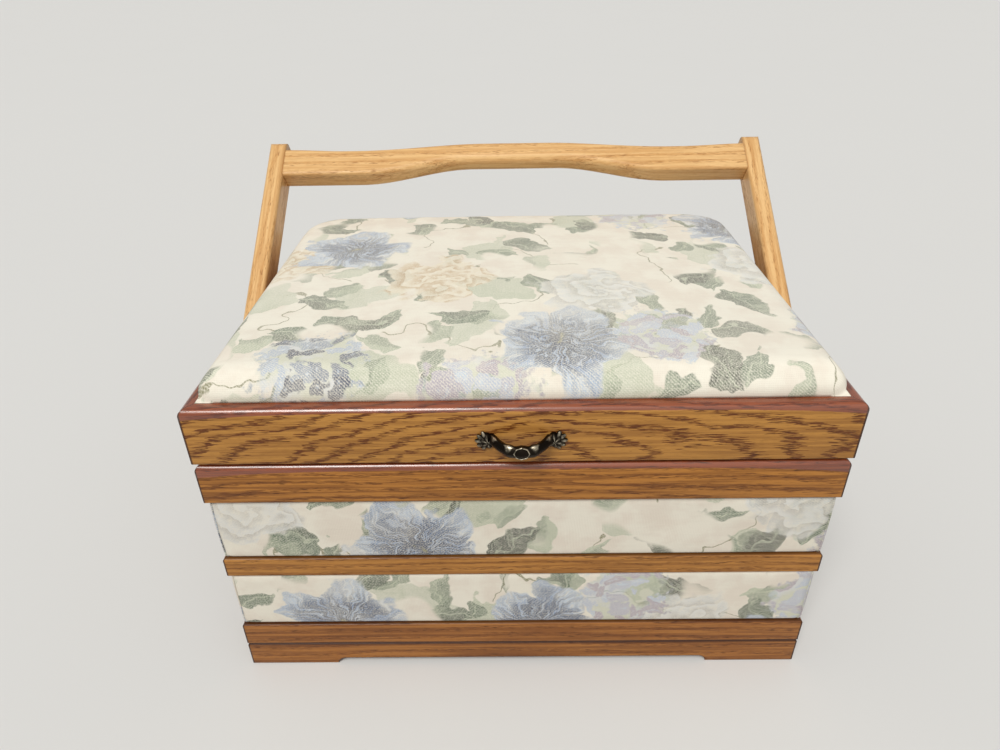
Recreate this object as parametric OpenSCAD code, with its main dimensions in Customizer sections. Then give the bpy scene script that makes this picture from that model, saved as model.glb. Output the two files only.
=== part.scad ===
// Sewing carrier with two lids.
// A box of fabric-covered boards between solid wood rails. The padded outer lid covers an
// inner lid, which is also a tray, and a wooden handle swings over both on two bolts.
// Millimetres. X is the width, the front faces -Y and the feet stand on Z = 0.

/* [Box] */
// Width over the outer lid's trim
box_w = 340; // [320:1:360]
// Depth over the outer lid's trim
box_d = 264; // [250:1:280]
// Thickness of the solid wood rails
rail_t = 12; // [11:0.5:13]
// Inset of the base and the middle strip from the lid's trim, each side
body_inset = 1; // [0.8:0.1:1.5]
// Inset of the rim and the lid's rails from the lid's trim, each side
rim_inset = 0.5; // [0.3:0.1:0.7]
// Inset of the fabric from the rails
fabric_inset = 1.2; // [0.8:0.1:1.6]
// Thickness of the fabric
fabric_t = 0.8; // [0.5:0.1:1]
// Thickness of the plywood that lines the inside
lining_t = 3; // [2.5:0.5:4]
// Thickness of the bottom panel
bottom_t = 4; // [3:0.5:5]

/* [Levels] */
// Height of the base rails
base_h = 35.5; // [34:0.5:38]
// Height of the groove along the base
groove_z = 18.5; // [17:0.5:20]
// Height of the cut-outs between the feet
foot_gap_h = 5; // [5:0.5:6]
// Length of each foot along its rail
foot_l = 54; // [45:1:60]
// Underside of the middle strip
strip_z = 77; // [75:0.5:79]
// Height of the middle strip
strip_h = 13.5; // [12:0.5:15]
// Underside of the rim
rim_z = 132.5; // [131:0.5:134]
// Underside of the rim's rounded trim
rim_trim_z = 152; // [151:0.5:153]
// Top of the rim
rim_top = 157; // [156.5:0.5:158]

/* [Outer lid] */
// Shadow gap between the rim and the lid
lid_gap = 1.6; // [1.4:0.1:2]
// Height of the lid's oak rails
lid_rail_h = 27.4; // [25:0.2:30]
// Thickness of the lid's oak rails
lid_rail_t = 13; // [12:0.5:14]
// Height of the lid's rounded trim
lid_trim_h = 6; // [5:0.5:7]
// Width of the lid's rounded trim
lid_trim_w = 9; // [8:0.5:10]
// Thickness of the board under the pad
lid_board_t = 4; // [3.5:0.5:5]
// Width of the pad's rolled edge
pad_roll_w = 16; // [12:1:24]
// Height of the pad's rolled edge
pad_roll_h = 18; // [10:1:18]
// Extra height in the middle of the pad
pad_dome = 2.5; // [0:0.5:2.5]

/* [Handle] */
// Angle of the handle behind upright
handle_lean = 54.3; // [54:0.1:60]
// Height of the pivots
pivot_z = 146; // [145:0.5:147]
// Pivots in front of the box's middle
pivot_front = 6; // [4:0.5:8]
// Distance from the box's middle to an arm's inner face
arm_inner_x = 174.5; // [174:0.5:176]
// Thickness of an arm
arm_t = 12.6; // [11:0.2:14]
// Width of an arm
arm_w = 20.7; // [19:0.1:22]
// Length of an arm above its pivot
arm_l = 184.5; // [183:0.5:188]
// Distance from the pivots to the crossbar's underside at the arms
bar_low = 152.5; // [151:0.5:154]
// Height of the crossbar at the arms
bar_h = 24; // [22:0.5:26]
// Thickness of the crossbar
bar_t = 15.5; // [14:0.5:17]
// Rise of the grip's underside in the middle
grip_rise = 11.7; // [8:0.1:12]
// Rise of the grip's top in the middle
crest_rise = 4.1; // [2:0.1:6]

/* [Inner lid] */
// Play between the inner lid and the rim, at the front and sides
tray_play = 0.8; // [0.6:0.1:1]
// Play behind the inner lid
tray_play_back = 4.8; // [4.5:0.1:6]
// Top of the inner lid
tray_top = 156; // [155:0.5:156]
// Thickness of its walls
tray_t = 6; // [5:0.5:7]
// Thickness of its floor
tray_floor_t = 3; // [3:0.5:4]
// Pins in front of its back edge
tray_pin_in = 8.2; // [7.5:0.1:9]
// Height of its pins
tray_pin_z = 149; // [148.5:0.5:149]

/* [Hardware] */
// Distance between the pull's two rosettes
pull_centres = 33.4; // [30:0.2:36]
// Height of the pull's rosettes
pull_z = 173; // [171:0.5:175]
// How far the pull's bow stands out
pull_reach = 11; // [10:0.5:13]
// Distance of each hinge from the middle
hinge_x = 105; // [90:1:120]
// Width of a hinge
hinge_w = 32; // [30:1:36]
// Length of a hinge's leaf
leaf_l = 17; // [15:1:18]
// Thickness of a hinge's leaf
leaf_t = 1.2; // [1:0.1:1.4]
// Radius of a hinge's knuckles
knuckle_r = 2.5; // [2.4:0.1:2.6]

/* [Hidden] */
$fn = 64;
FRONT = 0;
RIGHT = 1;
BACK = 2;
LEFT = 3;
OAK = "#b27d3e";
OAK_DARK = "#8c5530";
MAHOGANY = "#733226";
HONEY_OAK = "#e4b270";
PLYWOOD = "#c9a878";
FABRIC = "#e8e4d0";
BRASS = "#b08d4a";
BRONZE = "#2c2620";
running_gap = 0.05;
seat_gap = 0.02;
face_gap = 0.3;

// Levels and faces that follow from the dimensions above
lid_z = rim_top + lid_gap;
lid_rail_top = lid_z + lid_rail_h;
lid_top = lid_rail_top + lid_trim_h;
pad_z = lid_rail_top + lid_board_t;
rim_half_d = box_d / 2 - rim_inset;
rim_half_w = box_w / 2 - rim_inset;
body_half_w = box_w / 2 - body_inset;
body_half_d = box_d / 2 - body_inset;
pivot_y = -pivot_front;

// Radii of the pins, shanks and bores
bolt_r = 3;
bolt_depth = 10;
dowel_r = 3;
dowel_l = 26;
dowel_in_arm = 8;
dowel_pitch = 12;
tray_pin_r = 2;
screw_r = 1.5;
hinge_pin_r = 1.2;

// The arm's rounded top sets how far back the leaning handle reaches, and the pull how far
// forward the whole part does. The box is moved so that both lie equally far from Y = 0.
arm_round = 6;
handle_back = pivot_y + (arm_l - arm_round) * sin(handle_lean)
    + (arm_w / 2 - arm_round) * cos(handle_lean) + arm_round;
bow_r = 1.6;
bow_swell = 1;
pull_front = rim_half_d + pull_reach + bow_r + bow_swell;
box_y = (pull_front - handle_back) / 2;

module placed() {
    translate([0, box_y, 0])
        children();
}

// Rails and boards
// A rail's outline is drawn with X as the depth behind its outer face and Y as the height.
// It runs along one side of a ring w by d and is mitred at both ends.
module side_rail(side, w, d) {
    length = side % 2 == 0 ? w : d;
    half = (side % 2 == 0 ? d : w) / 2;
    reach = 30;
    rotate([0, 0, 90 * side])
        intersection() {
            translate([-length / 2, -half, 0])
                rotate([90, 0, 90])
                    linear_extrude(length)
                        children();
            linear_extrude(lid_top + 1)
                polygon([
                    [-length / 2, -half], [length / 2, -half],
                    [length / 2 - reach, reach - half], [reach - length / 2, reach - half]
                ]);
        }
}

module body_rail(side) {
    side_rail(side, 2 * body_half_w, 2 * body_half_d)
        children();
}

module rim_rail(side) {
    side_rail(side, 2 * rim_half_w, 2 * rim_half_d)
        children();
}

// A rectangle whose two outer corners, or only the upper one, are rounded
module eased_outline(x, z, t, h, r, both = true) {
    low_r = both ? r : 0;
    intersection() {
        translate([x, z])
            square([t, h]);
        union() {
            translate([x + r, z])
                square([t - r, h]);
            translate([x, z + low_r])
                square([t, h - r - low_r]);
            translate([x + r, z + h - r])
                circle(r);
            if (both)
                translate([x + r, z + r])
                    circle(r);
        }
    }
}

// Base
module base_rail(side) {
    ledge_t = rail_t + lining_t;
    groove = 1.3;
    length = 2 * (side % 2 == 0 ? body_half_w : body_half_d);
    half = side % 2 == 0 ? body_half_d : body_half_w;
    gap_half = length / 2 - foot_l - foot_gap_h;
    placed()
        color(OAK_DARK)
            difference() {
                body_rail(side)
                    difference() {
                        union() {
                            eased_outline(0, 0, rail_t, base_h, 1);
                            translate([1, 0])
                                square([ledge_t - 1, groove_z]);
                        }
                        translate([0, groove_z])
                            rotate(45)
                                square(groove, center = true);
                    }
                rotate([0, 0, 90 * side])
                    translate([0, -half - 1, 0])
                        rotate([-90, 0, 0])
                            linear_extrude(ledge_t + 2)
                                union() {
                                    square([2 * gap_half, 2 * foot_gap_h], center = true);
                                    for (end = [-1, 1])
                                        translate([end * gap_half, 0])
                                            circle(foot_gap_h);
                                }
            }
}

module bottom_panel() {
    placed()
        color(PLYWOOD)
            translate([rail_t - body_half_w, rail_t - body_half_d, groove_z])
                cube([2 * (body_half_w - rail_t), 2 * (body_half_d - rail_t), bottom_t]);
}

// The lining boards stand on the bottom panel and end under the rim
module side_lining() {
    placed()
        color(FABRIC)
            for (side = [FRONT:LEFT])
                body_rail(side)
                    translate([rail_t, groove_z + bottom_t])
                        square([lining_t, rim_z - groove_z - bottom_t]);
}

// Fabric-covered boards
module board_outline(z, h) {
    eased_outline(fabric_inset + fabric_t, z + fabric_t,
        rail_t - fabric_inset - fabric_t, h - 2 * fabric_t, 1.6);
}

module fabric_outline(z, h) {
    difference() {
        eased_outline(fabric_inset, z, rail_t - fabric_inset, h, 1.6 + fabric_t);
        board_outline(z, h);
    }
}

module board(side, z, h) {
    placed()
        color(PLYWOOD)
            body_rail(side)
                board_outline(z, h);
}

module lower_board(side) {
    board(side, base_h, strip_z - base_h);
}

module upper_board(side) {
    board(side, strip_z + strip_h, rim_z - strip_z - strip_h);
}

module fabric_band(z, h) {
    placed()
        color(FABRIC)
            for (side = [FRONT:LEFT])
                body_rail(side)
                    fabric_outline(z, h);
}

module lower_fabric() {
    fabric_band(base_h, strip_z - base_h);
}

module upper_fabric() {
    fabric_band(strip_z + strip_h, rim_z - strip_z - strip_h);
}

module strip(side) {
    placed()
        color(OAK)
            body_rail(side)
                eased_outline(0, strip_z, rail_t, strip_h, 1.2);
}

// Rim
module rim(side) {
    placed()
        color(OAK)
            difference() {
                rim_rail(side)
                    eased_outline(0, rim_z, rail_t, rim_trim_z - rim_z, 1.2);
                if (side % 2 == 1)
                    mirrored_x(side) {
                        translate([rim_half_w - bolt_depth, pivot_y, pivot_z])
                            rotate([0, 90, 0])
                                cylinder(r = bolt_r + seat_gap, h = bolt_depth + 1);
                        tray_pin_line(rim_half_w - rail_t - 1, 7, tray_pin_r + seat_gap);
                    }
                if (side == BACK)
                    hinge_screw_places(-1)
                        cylinder(r = screw_r + seat_gap, h = 20, center = true);
            }
}

module rim_trim(side) {
    placed()
        color(MAHOGANY)
            rim_rail(side)
                eased_outline(0, rim_trim_z, rail_t, rim_top - rim_trim_z, 3.6, both = false);
}

// Turns what is drawn at +X to the left side
module mirrored_x(side) {
    mirror([side == LEFT ? 1 : 0, 0, 0])
        children();
}

// Outer lid
module lid_rail(side) {
    placed()
        color(OAK)
            difference() {
                rim_rail(side)
                    eased_outline(0, lid_z, lid_rail_t, lid_rail_h, 1);
                if (side == FRONT)
                    pull_screw_places()
                        cylinder(r = screw_r + seat_gap, h = 2 * lid_rail_t + 2, center = true);
                if (side == BACK)
                    hinge_screw_places(1)
                        cylinder(r = screw_r + seat_gap, h = 20, center = true);
            }
}

module lid_trim(side) {
    placed()
        color(MAHOGANY)
            side_rail(side, box_w, box_d)
                eased_outline(0, lid_rail_top, lid_trim_w, lid_trim_h, 4, both = false);
}

module lid_board() {
    w = box_w - 2 * lid_trim_w - 2 * face_gap;
    d = box_d - 2 * lid_trim_w - 2 * face_gap;
    placed()
        color(PLYWOOD)
            translate([-w / 2, -d / 2, lid_rail_top])
                cube([w, d, lid_board_t]);
}

module lid_lining() {
    w = 2 * (rim_half_w - lid_rail_t - face_gap);
    d = 2 * (rim_half_d - lid_rail_t - face_gap);
    placed()
        color(FABRIC)
            translate([-w / 2, -d / 2, lid_rail_top - lining_t])
                cube([w, d, lining_t]);
}

// The pad rises in a steep roll from all four edges, and domes a little in the middle
pad_w = box_w - 2 * lid_trim_w - 1;
pad_d = box_d - 2 * lid_trim_w - 1;
pad_nx = 34;
pad_ny = 28;

function rolled(edge) = edge >= pad_roll_w ? 1 : sqrt(1 - pow(1 - edge / pad_roll_w, 2));

function pad_height(x, y) =
    fabric_t
    + pad_roll_h * rolled(pad_w / 2 - abs(x)) * rolled(pad_d / 2 - abs(y))
    + pad_dome * (1 - pow(2 * x / pad_w, 2)) * (1 - pow(2 * y / pad_d, 2));

// Grid lines crowd towards the edges, where the roll is
function crowded(i, n, size) = -cos(180 * i / n) * size / 2;

module lid_pad() {
    row = pad_nx + 1;
    top = [
        for (j = [0:pad_ny], i = [0:pad_nx])
            let (x = crowded(i, pad_nx, pad_w), y = crowded(j, pad_ny, pad_d))
                [x, y, pad_z + pad_height(x, y)]
    ];
    border = concat(
        [for (i = [0:pad_nx - 1]) i],
        [for (j = [0:pad_ny - 1]) j * row + pad_nx],
        [for (i = [pad_nx:-1:1]) pad_ny * row + i],
        [for (j = [pad_ny:-1:1]) j * row]
    );
    low = [for (k = border) [top[k].x, top[k].y, pad_z]];
    first = len(top);
    count = len(border);
    points = concat(top, low, [[0, 0, pad_z]]);
    faces = concat(
        [for (j = [0:pad_ny - 1], i = [0:pad_nx - 1])
            [j * row + i, (j + 1) * row + i, (j + 1) * row + i + 1]],
        [for (j = [0:pad_ny - 1], i = [0:pad_nx - 1])
            [j * row + i, (j + 1) * row + i + 1, j * row + i + 1]],
        [for (k = [0:count - 1]) [border[k], border[(k + 1) % count], first + k]],
        [for (k = [0:count - 1]) [border[(k + 1) % count], first + (k + 1) % count, first + k]],
        [for (k = [0:count - 1]) [first + k, first + (k + 1) % count, first + count]]
    );
    placed()
        color(FABRIC)
            polyhedron(points, faces);
}

// Pull
// Each end has a scalloped rosette, and the bow between them swells into a third one
module rosette_outline(r, petals) {
    petal_r = r * sin(180 / petals) * 1.15;
    circle(r);
    for (k = [0:petals - 1])
        rotate(360 * (k + 0.5) / petals)
            translate([r * 0.92, 0])
                circle(petal_r);
}

module facing_front(x, reach) {
    translate([x, -rim_half_d - reach, pull_z])
        rotate([90, 0, 0])
            children();
}

module pull_screw_places() {
    for (end = [-1, 1])
        facing_front(end * pull_centres / 2, 0)
            children();
}

bow_steps = 24;
bow_sides = 12;

function bow_point(t) = [
    t * pull_centres / 2,
    -rim_half_d - 1.6 - (pull_reach - 1.6) * (1 - pow(abs(t), 2.6)),
    pull_z - 1.2 * (1 - t * t)
];

function bow_radius(t) = bow_r + bow_swell * exp(-pow(t / 0.16, 2)) + 0.3 * pow(abs(t), 4);

function bow_ring(t) =
    let (
        step = 0.01,
        run = bow_point(min(t + step, 1)) - bow_point(max(t - step, -1)),
        along = run / norm(run),
        side = [-along.y, along.x, 0] / norm([along.x, along.y]),
        up = cross(along, side)
    )
    [for (k = [0:bow_sides - 1])
        bow_point(t) + bow_radius(t) * (cos(360 * k / bow_sides) * side
            + sin(360 * k / bow_sides) * up)];

// Joins rings of equal length into one closed solid
module skinned(rings) {
    sides = len(rings[0]);
    last = len(rings) - 1;
    points = [for (ring = rings, point = ring) point];
    faces = concat(
        [[for (k = [0:sides - 1]) k]],
        [for (r = [0:last - 1], k = [0:sides - 1])
            [r * sides + k, (r + 1) * sides + k, (r + 1) * sides + (k + 1) % sides]],
        [for (r = [0:last - 1], k = [0:sides - 1])
            [r * sides + k, (r + 1) * sides + (k + 1) % sides, r * sides + (k + 1) % sides]],
        [[for (k = [sides - 1:-1:0]) last * sides + k]]
    );
    polyhedron(points, faces);
}

module pull() {
    rosette_r = 4.2;
    rosette_t = 2.6;
    leaf_r = 2;
    screw_hole = 1.8;
    placed()
        color(BRONZE)
            difference() {
                union() {
                    skinned([for (k = [0:bow_steps]) bow_ring(2 * k / bow_steps - 1)]);
                    for (end = [-1, 1]) {
                        facing_front(end * pull_centres / 2, 0)
                            linear_extrude(rosette_t)
                                rosette_outline(rosette_r, 6);
                        facing_front(end * (pull_centres / 2 + 4.6), 0)
                            cylinder(r = leaf_r, h = rosette_t - 0.6);
                        facing_front(end * pull_centres / 2, 0)
                            cylinder(r1 = 2.6, r2 = 1.6, h = rosette_t + 1.4);
                    }
                    translate([0, 0, -1.2])
                        facing_front(0, pull_reach)
                            linear_extrude(bow_r + bow_swell)
                                rosette_outline(2.8, 5);
                }
                pull_screw_places()
                    cylinder(r = screw_r + seat_gap, h = 2 * screw_hole, center = true);
            }
}

module pull_screws() {
    head_t = 1.4;
    tip = 1.7;
    placed()
        color(BRASS)
            for (end = [-1, 1])
                facing_front(end * pull_centres / 2, -lid_rail_t)
                    union() {
                        cylinder(r = screw_r, h = lid_rail_t + tip);
                        translate([0, 0, -head_t])
                            cylinder(r1 = 2.2, r2 = 3, h = head_t);
                    }
}

// Hinges
// The pins lie behind the back face, level with the middle of the lid's shadow gap
hinge_y = rim_half_d + knuckle_r + 0.1;
hinge_z = rim_top + lid_gap / 2;
knuckles = 5;
knuckle_gap = 0.2;
knuckle_l = hinge_w / knuckles;

// Two screws to a leaf, above the pin for the lid (up = 1) and below it for the box (-1)
module hinge_screw_places(up) {
    for (side = [-1, 1], end = [-1, 1])
        translate([side * hinge_x + end * hinge_w * 0.3, rim_half_d, hinge_z + up * leaf_l * 0.64])
            rotate([-90, 0, 0])
                children();
}

// first is the first of the knuckles that this leaf has, every second one being its own
module hinge_leaves(up, first) {
    clear = knuckle_r + 0.3;
    for (side = [-1, 1])
        translate([side * hinge_x, 0, hinge_z])
            difference() {
                union() {
                    translate([-hinge_w / 2, rim_half_d, up > 0 ? clear : -leaf_l])
                        cube([hinge_w, leaf_t, leaf_l - clear]);
                    for (k = [first:2:knuckles - 1])
                        translate([k * knuckle_l - hinge_w / 2 + knuckle_gap / 2, 0, 0]) {
                            translate([0, rim_half_d, up > 0 ? 0 : -clear - 1])
                                cube([knuckle_l - knuckle_gap, leaf_t, clear + 1]);
                            translate([0, hinge_y, 0])
                                rotate([0, 90, 0])
                                    cylinder(r = knuckle_r, h = knuckle_l - knuckle_gap);
                        }
                }
                translate([-hinge_w, hinge_y, 0])
                    rotate([0, 90, 0])
                        cylinder(r = hinge_pin_r + (up > 0 ? running_gap : seat_gap),
                            h = 2 * hinge_w);
                for (end = [-1, 1])
                    translate([end * hinge_w * 0.3, rim_half_d - 1, up * leaf_l * 0.64])
                        rotate([-90, 0, 0])
                            cylinder(r = screw_r + seat_gap, h = leaf_t + 2);
            }
}

module hinge_screws(up) {
    shank = 9;
    head_t = 1;
    placed()
        color(BRASS)
            hinge_screw_places(up)
                union() {
                    translate([0, 0, -shank])
                        cylinder(r = screw_r, h = shank + leaf_t);
                    translate([0, 0, leaf_t])
                        cylinder(r1 = 2.8, r2 = 2, h = head_t);
                }
}

module hinge_leaves_box() {
    placed()
        color(BRASS)
            hinge_leaves(-1, 0);
}

module hinge_leaves_lid() {
    placed()
        color(BRASS)
            hinge_leaves(1, 1);
}

module hinge_pins() {
    head_t = 0.8;
    head_r = 1.9;
    placed()
        color(BRASS)
            for (side = [-1, 1])
                translate([side * hinge_x - hinge_w / 2 - head_t, hinge_y, hinge_z])
                    rotate([0, 90, 0])
                        union() {
                            cylinder(r = hinge_pin_r, h = hinge_w + 2 * head_t);
                            cylinder(r = head_r, h = head_t);
                            translate([0, 0, hinge_w + head_t])
                                cylinder(r = head_r, h = head_t);
                        }
}

// Handle
// Its parts are drawn upright, with the pivots on the X axis, and then leaned back
module leaned() {
    translate([0, box_y + pivot_y, pivot_z])
        rotate([-handle_lean, 0, 0])
            children();
}

bar_front = 0.3 - arm_w / 2;

module arm_outline() {
    circle(arm_w / 2);
    translate([-arm_w / 2, 0])
        square([arm_w, arm_l - arm_round]);
    translate([arm_round - arm_w / 2, 0])
        square([arm_w - 2 * arm_round, arm_l]);
    for (end = [-1, 1])
        translate([end * (arm_w / 2 - arm_round), arm_l - arm_round])
            circle(arm_round);
}

module arm_section() {
    edge_r = 2.6;
    for (x = [edge_r, arm_t - edge_r], y = [edge_r - arm_w / 2, arm_w / 2 - edge_r])
        translate([x, y])
            circle(edge_r);
    translate([edge_r, -arm_w / 2])
        square([arm_t - 2 * edge_r, arm_w]);
    translate([0, edge_r - arm_w / 2])
        square([arm_t, arm_w - 2 * edge_r]);
}

module dowel_places() {
    for (end = [-1, 1])
        translate([0, bar_front + bar_t / 2, bar_low + bar_h / 2 + end * dowel_pitch / 2])
            rotate([0, 90, 0])
                children();
}

module handle_arm(side) {
    leaned()
        color(HONEY_OAK)
            mirrored_x(side)
                difference() {
                    intersection() {
                        translate([arm_inner_x, 0, 0])
                            rotate([90, 0, 90])
                                linear_extrude(arm_t)
                                    arm_outline();
                        translate([arm_inner_x, 0, -arm_w])
                            linear_extrude(arm_l + 2 * arm_w)
                                arm_section();
                    }
                    translate([arm_inner_x - 1, 0, 0])
                        rotate([0, 90, 0])
                            cylinder(r = bolt_r + running_gap, h = arm_t + 2);
                    dowel_places()
                        cylinder(r = dowel_r + seat_gap, h = arm_inner_x + dowel_in_arm);
                }
}

// A smooth step from 0 at a to 1 at b
function eased(x, a, b) =
    let (t = min(max((x - a) / (b - a), 0), 1))
        t * t * (3 - 2 * t);

// The bar's underside and top bow upwards in the middle, and its top dips beside the crest
function bar_under(x) = bar_low + grip_rise * (1 - eased(abs(x), 32, 114));

function bar_over(x) =
    let (crest = 1 - eased(abs(x), 24, 118))
        bar_low + bar_h + crest_rise * crest - 1.8 * (1 - crest) * (1 - eased(abs(x), 128, 174));

bar_steps = 40;
corner_steps = 4;

// One section of the bar, its lower edges rounder in the grip
function bar_ring(x) =
    let (
        low = bar_under(x),
        high = bar_over(x),
        round_low = 2.2 + 3.4 * (1 - eased(abs(x), 40, 120)),
        round_high = 2.2 + 1.2 * (1 - eased(abs(x), 40, 120)),
        back = bar_front + bar_t
    )
    [for (corner = [
            [bar_front + round_low, low + round_low, round_low, 180],
            [back - round_low, low + round_low, round_low, 270],
            [back - round_high, high - round_high, round_high, 0],
            [bar_front + round_high, high - round_high, round_high, 90]],
        k = [0:corner_steps])
        let (a = corner[3] + 90 * k / corner_steps)
            [x, corner[0] + corner[2] * cos(a), corner[1] + corner[2] * sin(a)]];

module handle_crossbar() {
    leaned()
        color(HONEY_OAK)
            difference() {
                skinned([for (k = [bar_steps:-1:0]) bar_ring(arm_inner_x * (2 * k / bar_steps - 1))]);
                for (end = [-1, 1])
                    translate([end * arm_inner_x, 0, 0])
                        dowel_places()
                            cylinder(r = dowel_r + seat_gap,
                                h = 2 * (dowel_l - dowel_in_arm) + 1, center = true);
            }
}

module handle_dowels() {
    leaned()
        color(PLYWOOD)
            for (side = [RIGHT, LEFT])
                mirrored_x(side)
                    translate([arm_inner_x + dowel_in_arm - dowel_l, 0, 0])
                        dowel_places()
                            cylinder(r = dowel_r, h = dowel_l);
}

module handle_bolts() {
    head_r = 7;
    head_t = 3;
    dome_r = (head_r * head_r + head_t * head_t) / (2 * head_t);
    placed()
        color(BRASS)
            for (side = [RIGHT, LEFT])
                mirrored_x(side)
                    translate([arm_inner_x + arm_t + face_gap, pivot_y, pivot_z])
                        rotate([0, 90, 0])
                            union() {
                                translate([0, 0, rim_half_w - bolt_depth - arm_inner_x - arm_t])
                                    cylinder(r = bolt_r,
                                        h = arm_inner_x + arm_t - rim_half_w + bolt_depth + 1);
                                intersection() {
                                    translate([0, 0, head_t - dome_r])
                                        sphere(dome_r);
                                    cylinder(r = head_r, h = head_t);
                                }
                            }
}

module handle_spacers() {
    spacer_r = 9;
    placed()
        color(OAK_DARK)
            for (side = [RIGHT, LEFT])
                mirrored_x(side)
                    translate([rim_half_w, pivot_y, pivot_z])
                        rotate([0, 90, 0])
                            difference() {
                                cylinder(r = spacer_r, h = arm_inner_x - rim_half_w - face_gap);
                                translate([0, 0, -1])
                                    cylinder(r = bolt_r + seat_gap, h = arm_inner_x - rim_half_w + 1);
                            }
}

// Inner lid, a shallow tray that turns on two pins and rests on the lining's top edge
tray_z = rim_z + 0.5;
tray_half_w = rim_half_w - rail_t - tray_play;
tray_front_y = rail_t + tray_play - rim_half_d;
tray_back_y = rim_half_d - rail_t - tray_play_back;
tray_pin_y = tray_back_y - tray_pin_in;

module tray_pin_line(x, length, r) {
    translate([x, tray_pin_y, tray_pin_z])
        rotate([0, 90, 0])
            cylinder(r = r, h = length);
}

// Keeps what lies behind the pins inside a cylinder, so that it swings clear of the lining
module swung_clear() {
    swing_r = tray_pin_z - tray_z + 0.1;
    intersection() {
        union() {
            translate([-box_w, -box_d, 0])
                cube([2 * box_w, box_d + tray_pin_y, lid_top]);
            translate([-box_w, tray_pin_y, tray_pin_z])
                rotate([0, 90, 0])
                    cylinder(r = swing_r, h = 2 * box_w);
        }
        children();
    }
}

module tray_side(side) {
    placed()
        color(OAK)
            mirrored_x(side)
                difference() {
                    swung_clear()
                        translate([tray_half_w - tray_t, tray_front_y, tray_z])
                            cube([tray_t, tray_back_y - tray_front_y, tray_top - tray_z]);
                    tray_pin_line(tray_half_w - tray_t - 1, tray_t + 2, tray_pin_r + running_gap);
                }
}

module tray_front() {
    placed()
        color(OAK)
            translate([tray_t - tray_half_w, tray_front_y, tray_z])
                cube([2 * (tray_half_w - tray_t), tray_t, tray_top - tray_z]);
}

module tray_back() {
    placed()
        color(OAK)
            swung_clear()
                translate([tray_t - tray_half_w, tray_back_y - tray_t, tray_z])
                    cube([2 * (tray_half_w - tray_t), tray_t, tray_top - tray_z]);
}

module tray_floor() {
    placed()
        color(FABRIC)
            translate([tray_t - tray_half_w, tray_front_y + tray_t, tray_z])
                cube([2 * (tray_half_w - tray_t), tray_back_y - tray_front_y - 2 * tray_t,
                    tray_floor_t]);
}

module tray_dividers() {
    divider_t = 4;
    divider_x = 50;
    divider_top = tray_top - 4;
    placed()
        color(OAK)
            for (x = [-divider_x, divider_x])
                translate([x - divider_t / 2, tray_front_y + tray_t, tray_z + tray_floor_t])
                    cube([divider_t, tray_back_y - tray_front_y - 2 * tray_t,
                        divider_top - tray_z - tray_floor_t]);
}

module tray_pins() {
    placed()
        color(BRASS)
            for (side = [RIGHT, LEFT])
                mirrored_x(side)
                    tray_pin_line(tray_half_w - tray_t + 0.5, tray_t + tray_play + 5, tray_pin_r);
}

module tray_tab() {
    tab_w = 18;
    tab_t = 1.6;
    tab_low = 144;
    tab_high = 166;
    placed()
        color(MAHOGANY)
            translate([0, tray_front_y + tray_t + tab_t, 0])
                rotate([90, 0, 0])
                    linear_extrude(tab_t)
                        union() {
                            translate([-tab_w / 2, tab_low])
                                square([tab_w, tab_high - tab_low - tab_w / 2]);
                            translate([0, tab_high - tab_w / 2])
                                circle(tab_w / 2);
                        }
}

base_rail(FRONT);  // base_front
base_rail(RIGHT);  // base_right
base_rail(BACK);  // base_back
base_rail(LEFT);  // base_left
lower_board(FRONT);  // lower_board_front
lower_board(RIGHT);  // lower_board_right
lower_board(BACK);  // lower_board_back
lower_board(LEFT);  // lower_board_left
strip(FRONT);  // strip_front
strip(RIGHT);  // strip_right
strip(BACK);  // strip_back
strip(LEFT);  // strip_left
upper_board(FRONT);  // upper_board_front
upper_board(RIGHT);  // upper_board_right
upper_board(BACK);  // upper_board_back
upper_board(LEFT);  // upper_board_left
rim(FRONT);  // rim_front
rim(RIGHT);  // rim_right
rim(BACK);  // rim_back
rim(LEFT);  // rim_left
rim_trim(FRONT);  // rim_trim_front
rim_trim(RIGHT);  // rim_trim_right
rim_trim(BACK);  // rim_trim_back
rim_trim(LEFT);  // rim_trim_left
lower_fabric();
upper_fabric();
side_lining();
bottom_panel();
hinge_leaves_box();
hinge_pins();
hinge_screws(-1);  // hinge_screws_box
handle_bolts();
handle_spacers();
lid_rail(FRONT);  // lid_rail_front
lid_rail(RIGHT);  // lid_rail_right
lid_rail(BACK);  // lid_rail_back
lid_rail(LEFT);  // lid_rail_left
lid_trim(FRONT);  // lid_trim_front
lid_trim(RIGHT);  // lid_trim_right
lid_trim(BACK);  // lid_trim_back
lid_trim(LEFT);  // lid_trim_left
lid_board();
lid_pad();
lid_lining();
pull();
pull_screws();
hinge_leaves_lid();
hinge_screws(1);  // hinge_screws_lid
handle_arm(LEFT);  // handle_arm_left
handle_arm(RIGHT);  // handle_arm_right
handle_crossbar();
handle_dowels();
tray_front();
tray_side(RIGHT);  // tray_right
tray_back();
tray_side(LEFT);  // tray_left
tray_floor();
tray_dividers();
tray_pins();
tray_tab();
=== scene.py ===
"""Sewing carrier with two lids: finishes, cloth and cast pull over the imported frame."""

import logging
import math
from dataclasses import dataclass, field
from enum import Enum
from typing import Any, Callable, Sequence

import bmesh
import bpy
from mathutils import Matrix, Vector, noise


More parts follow.
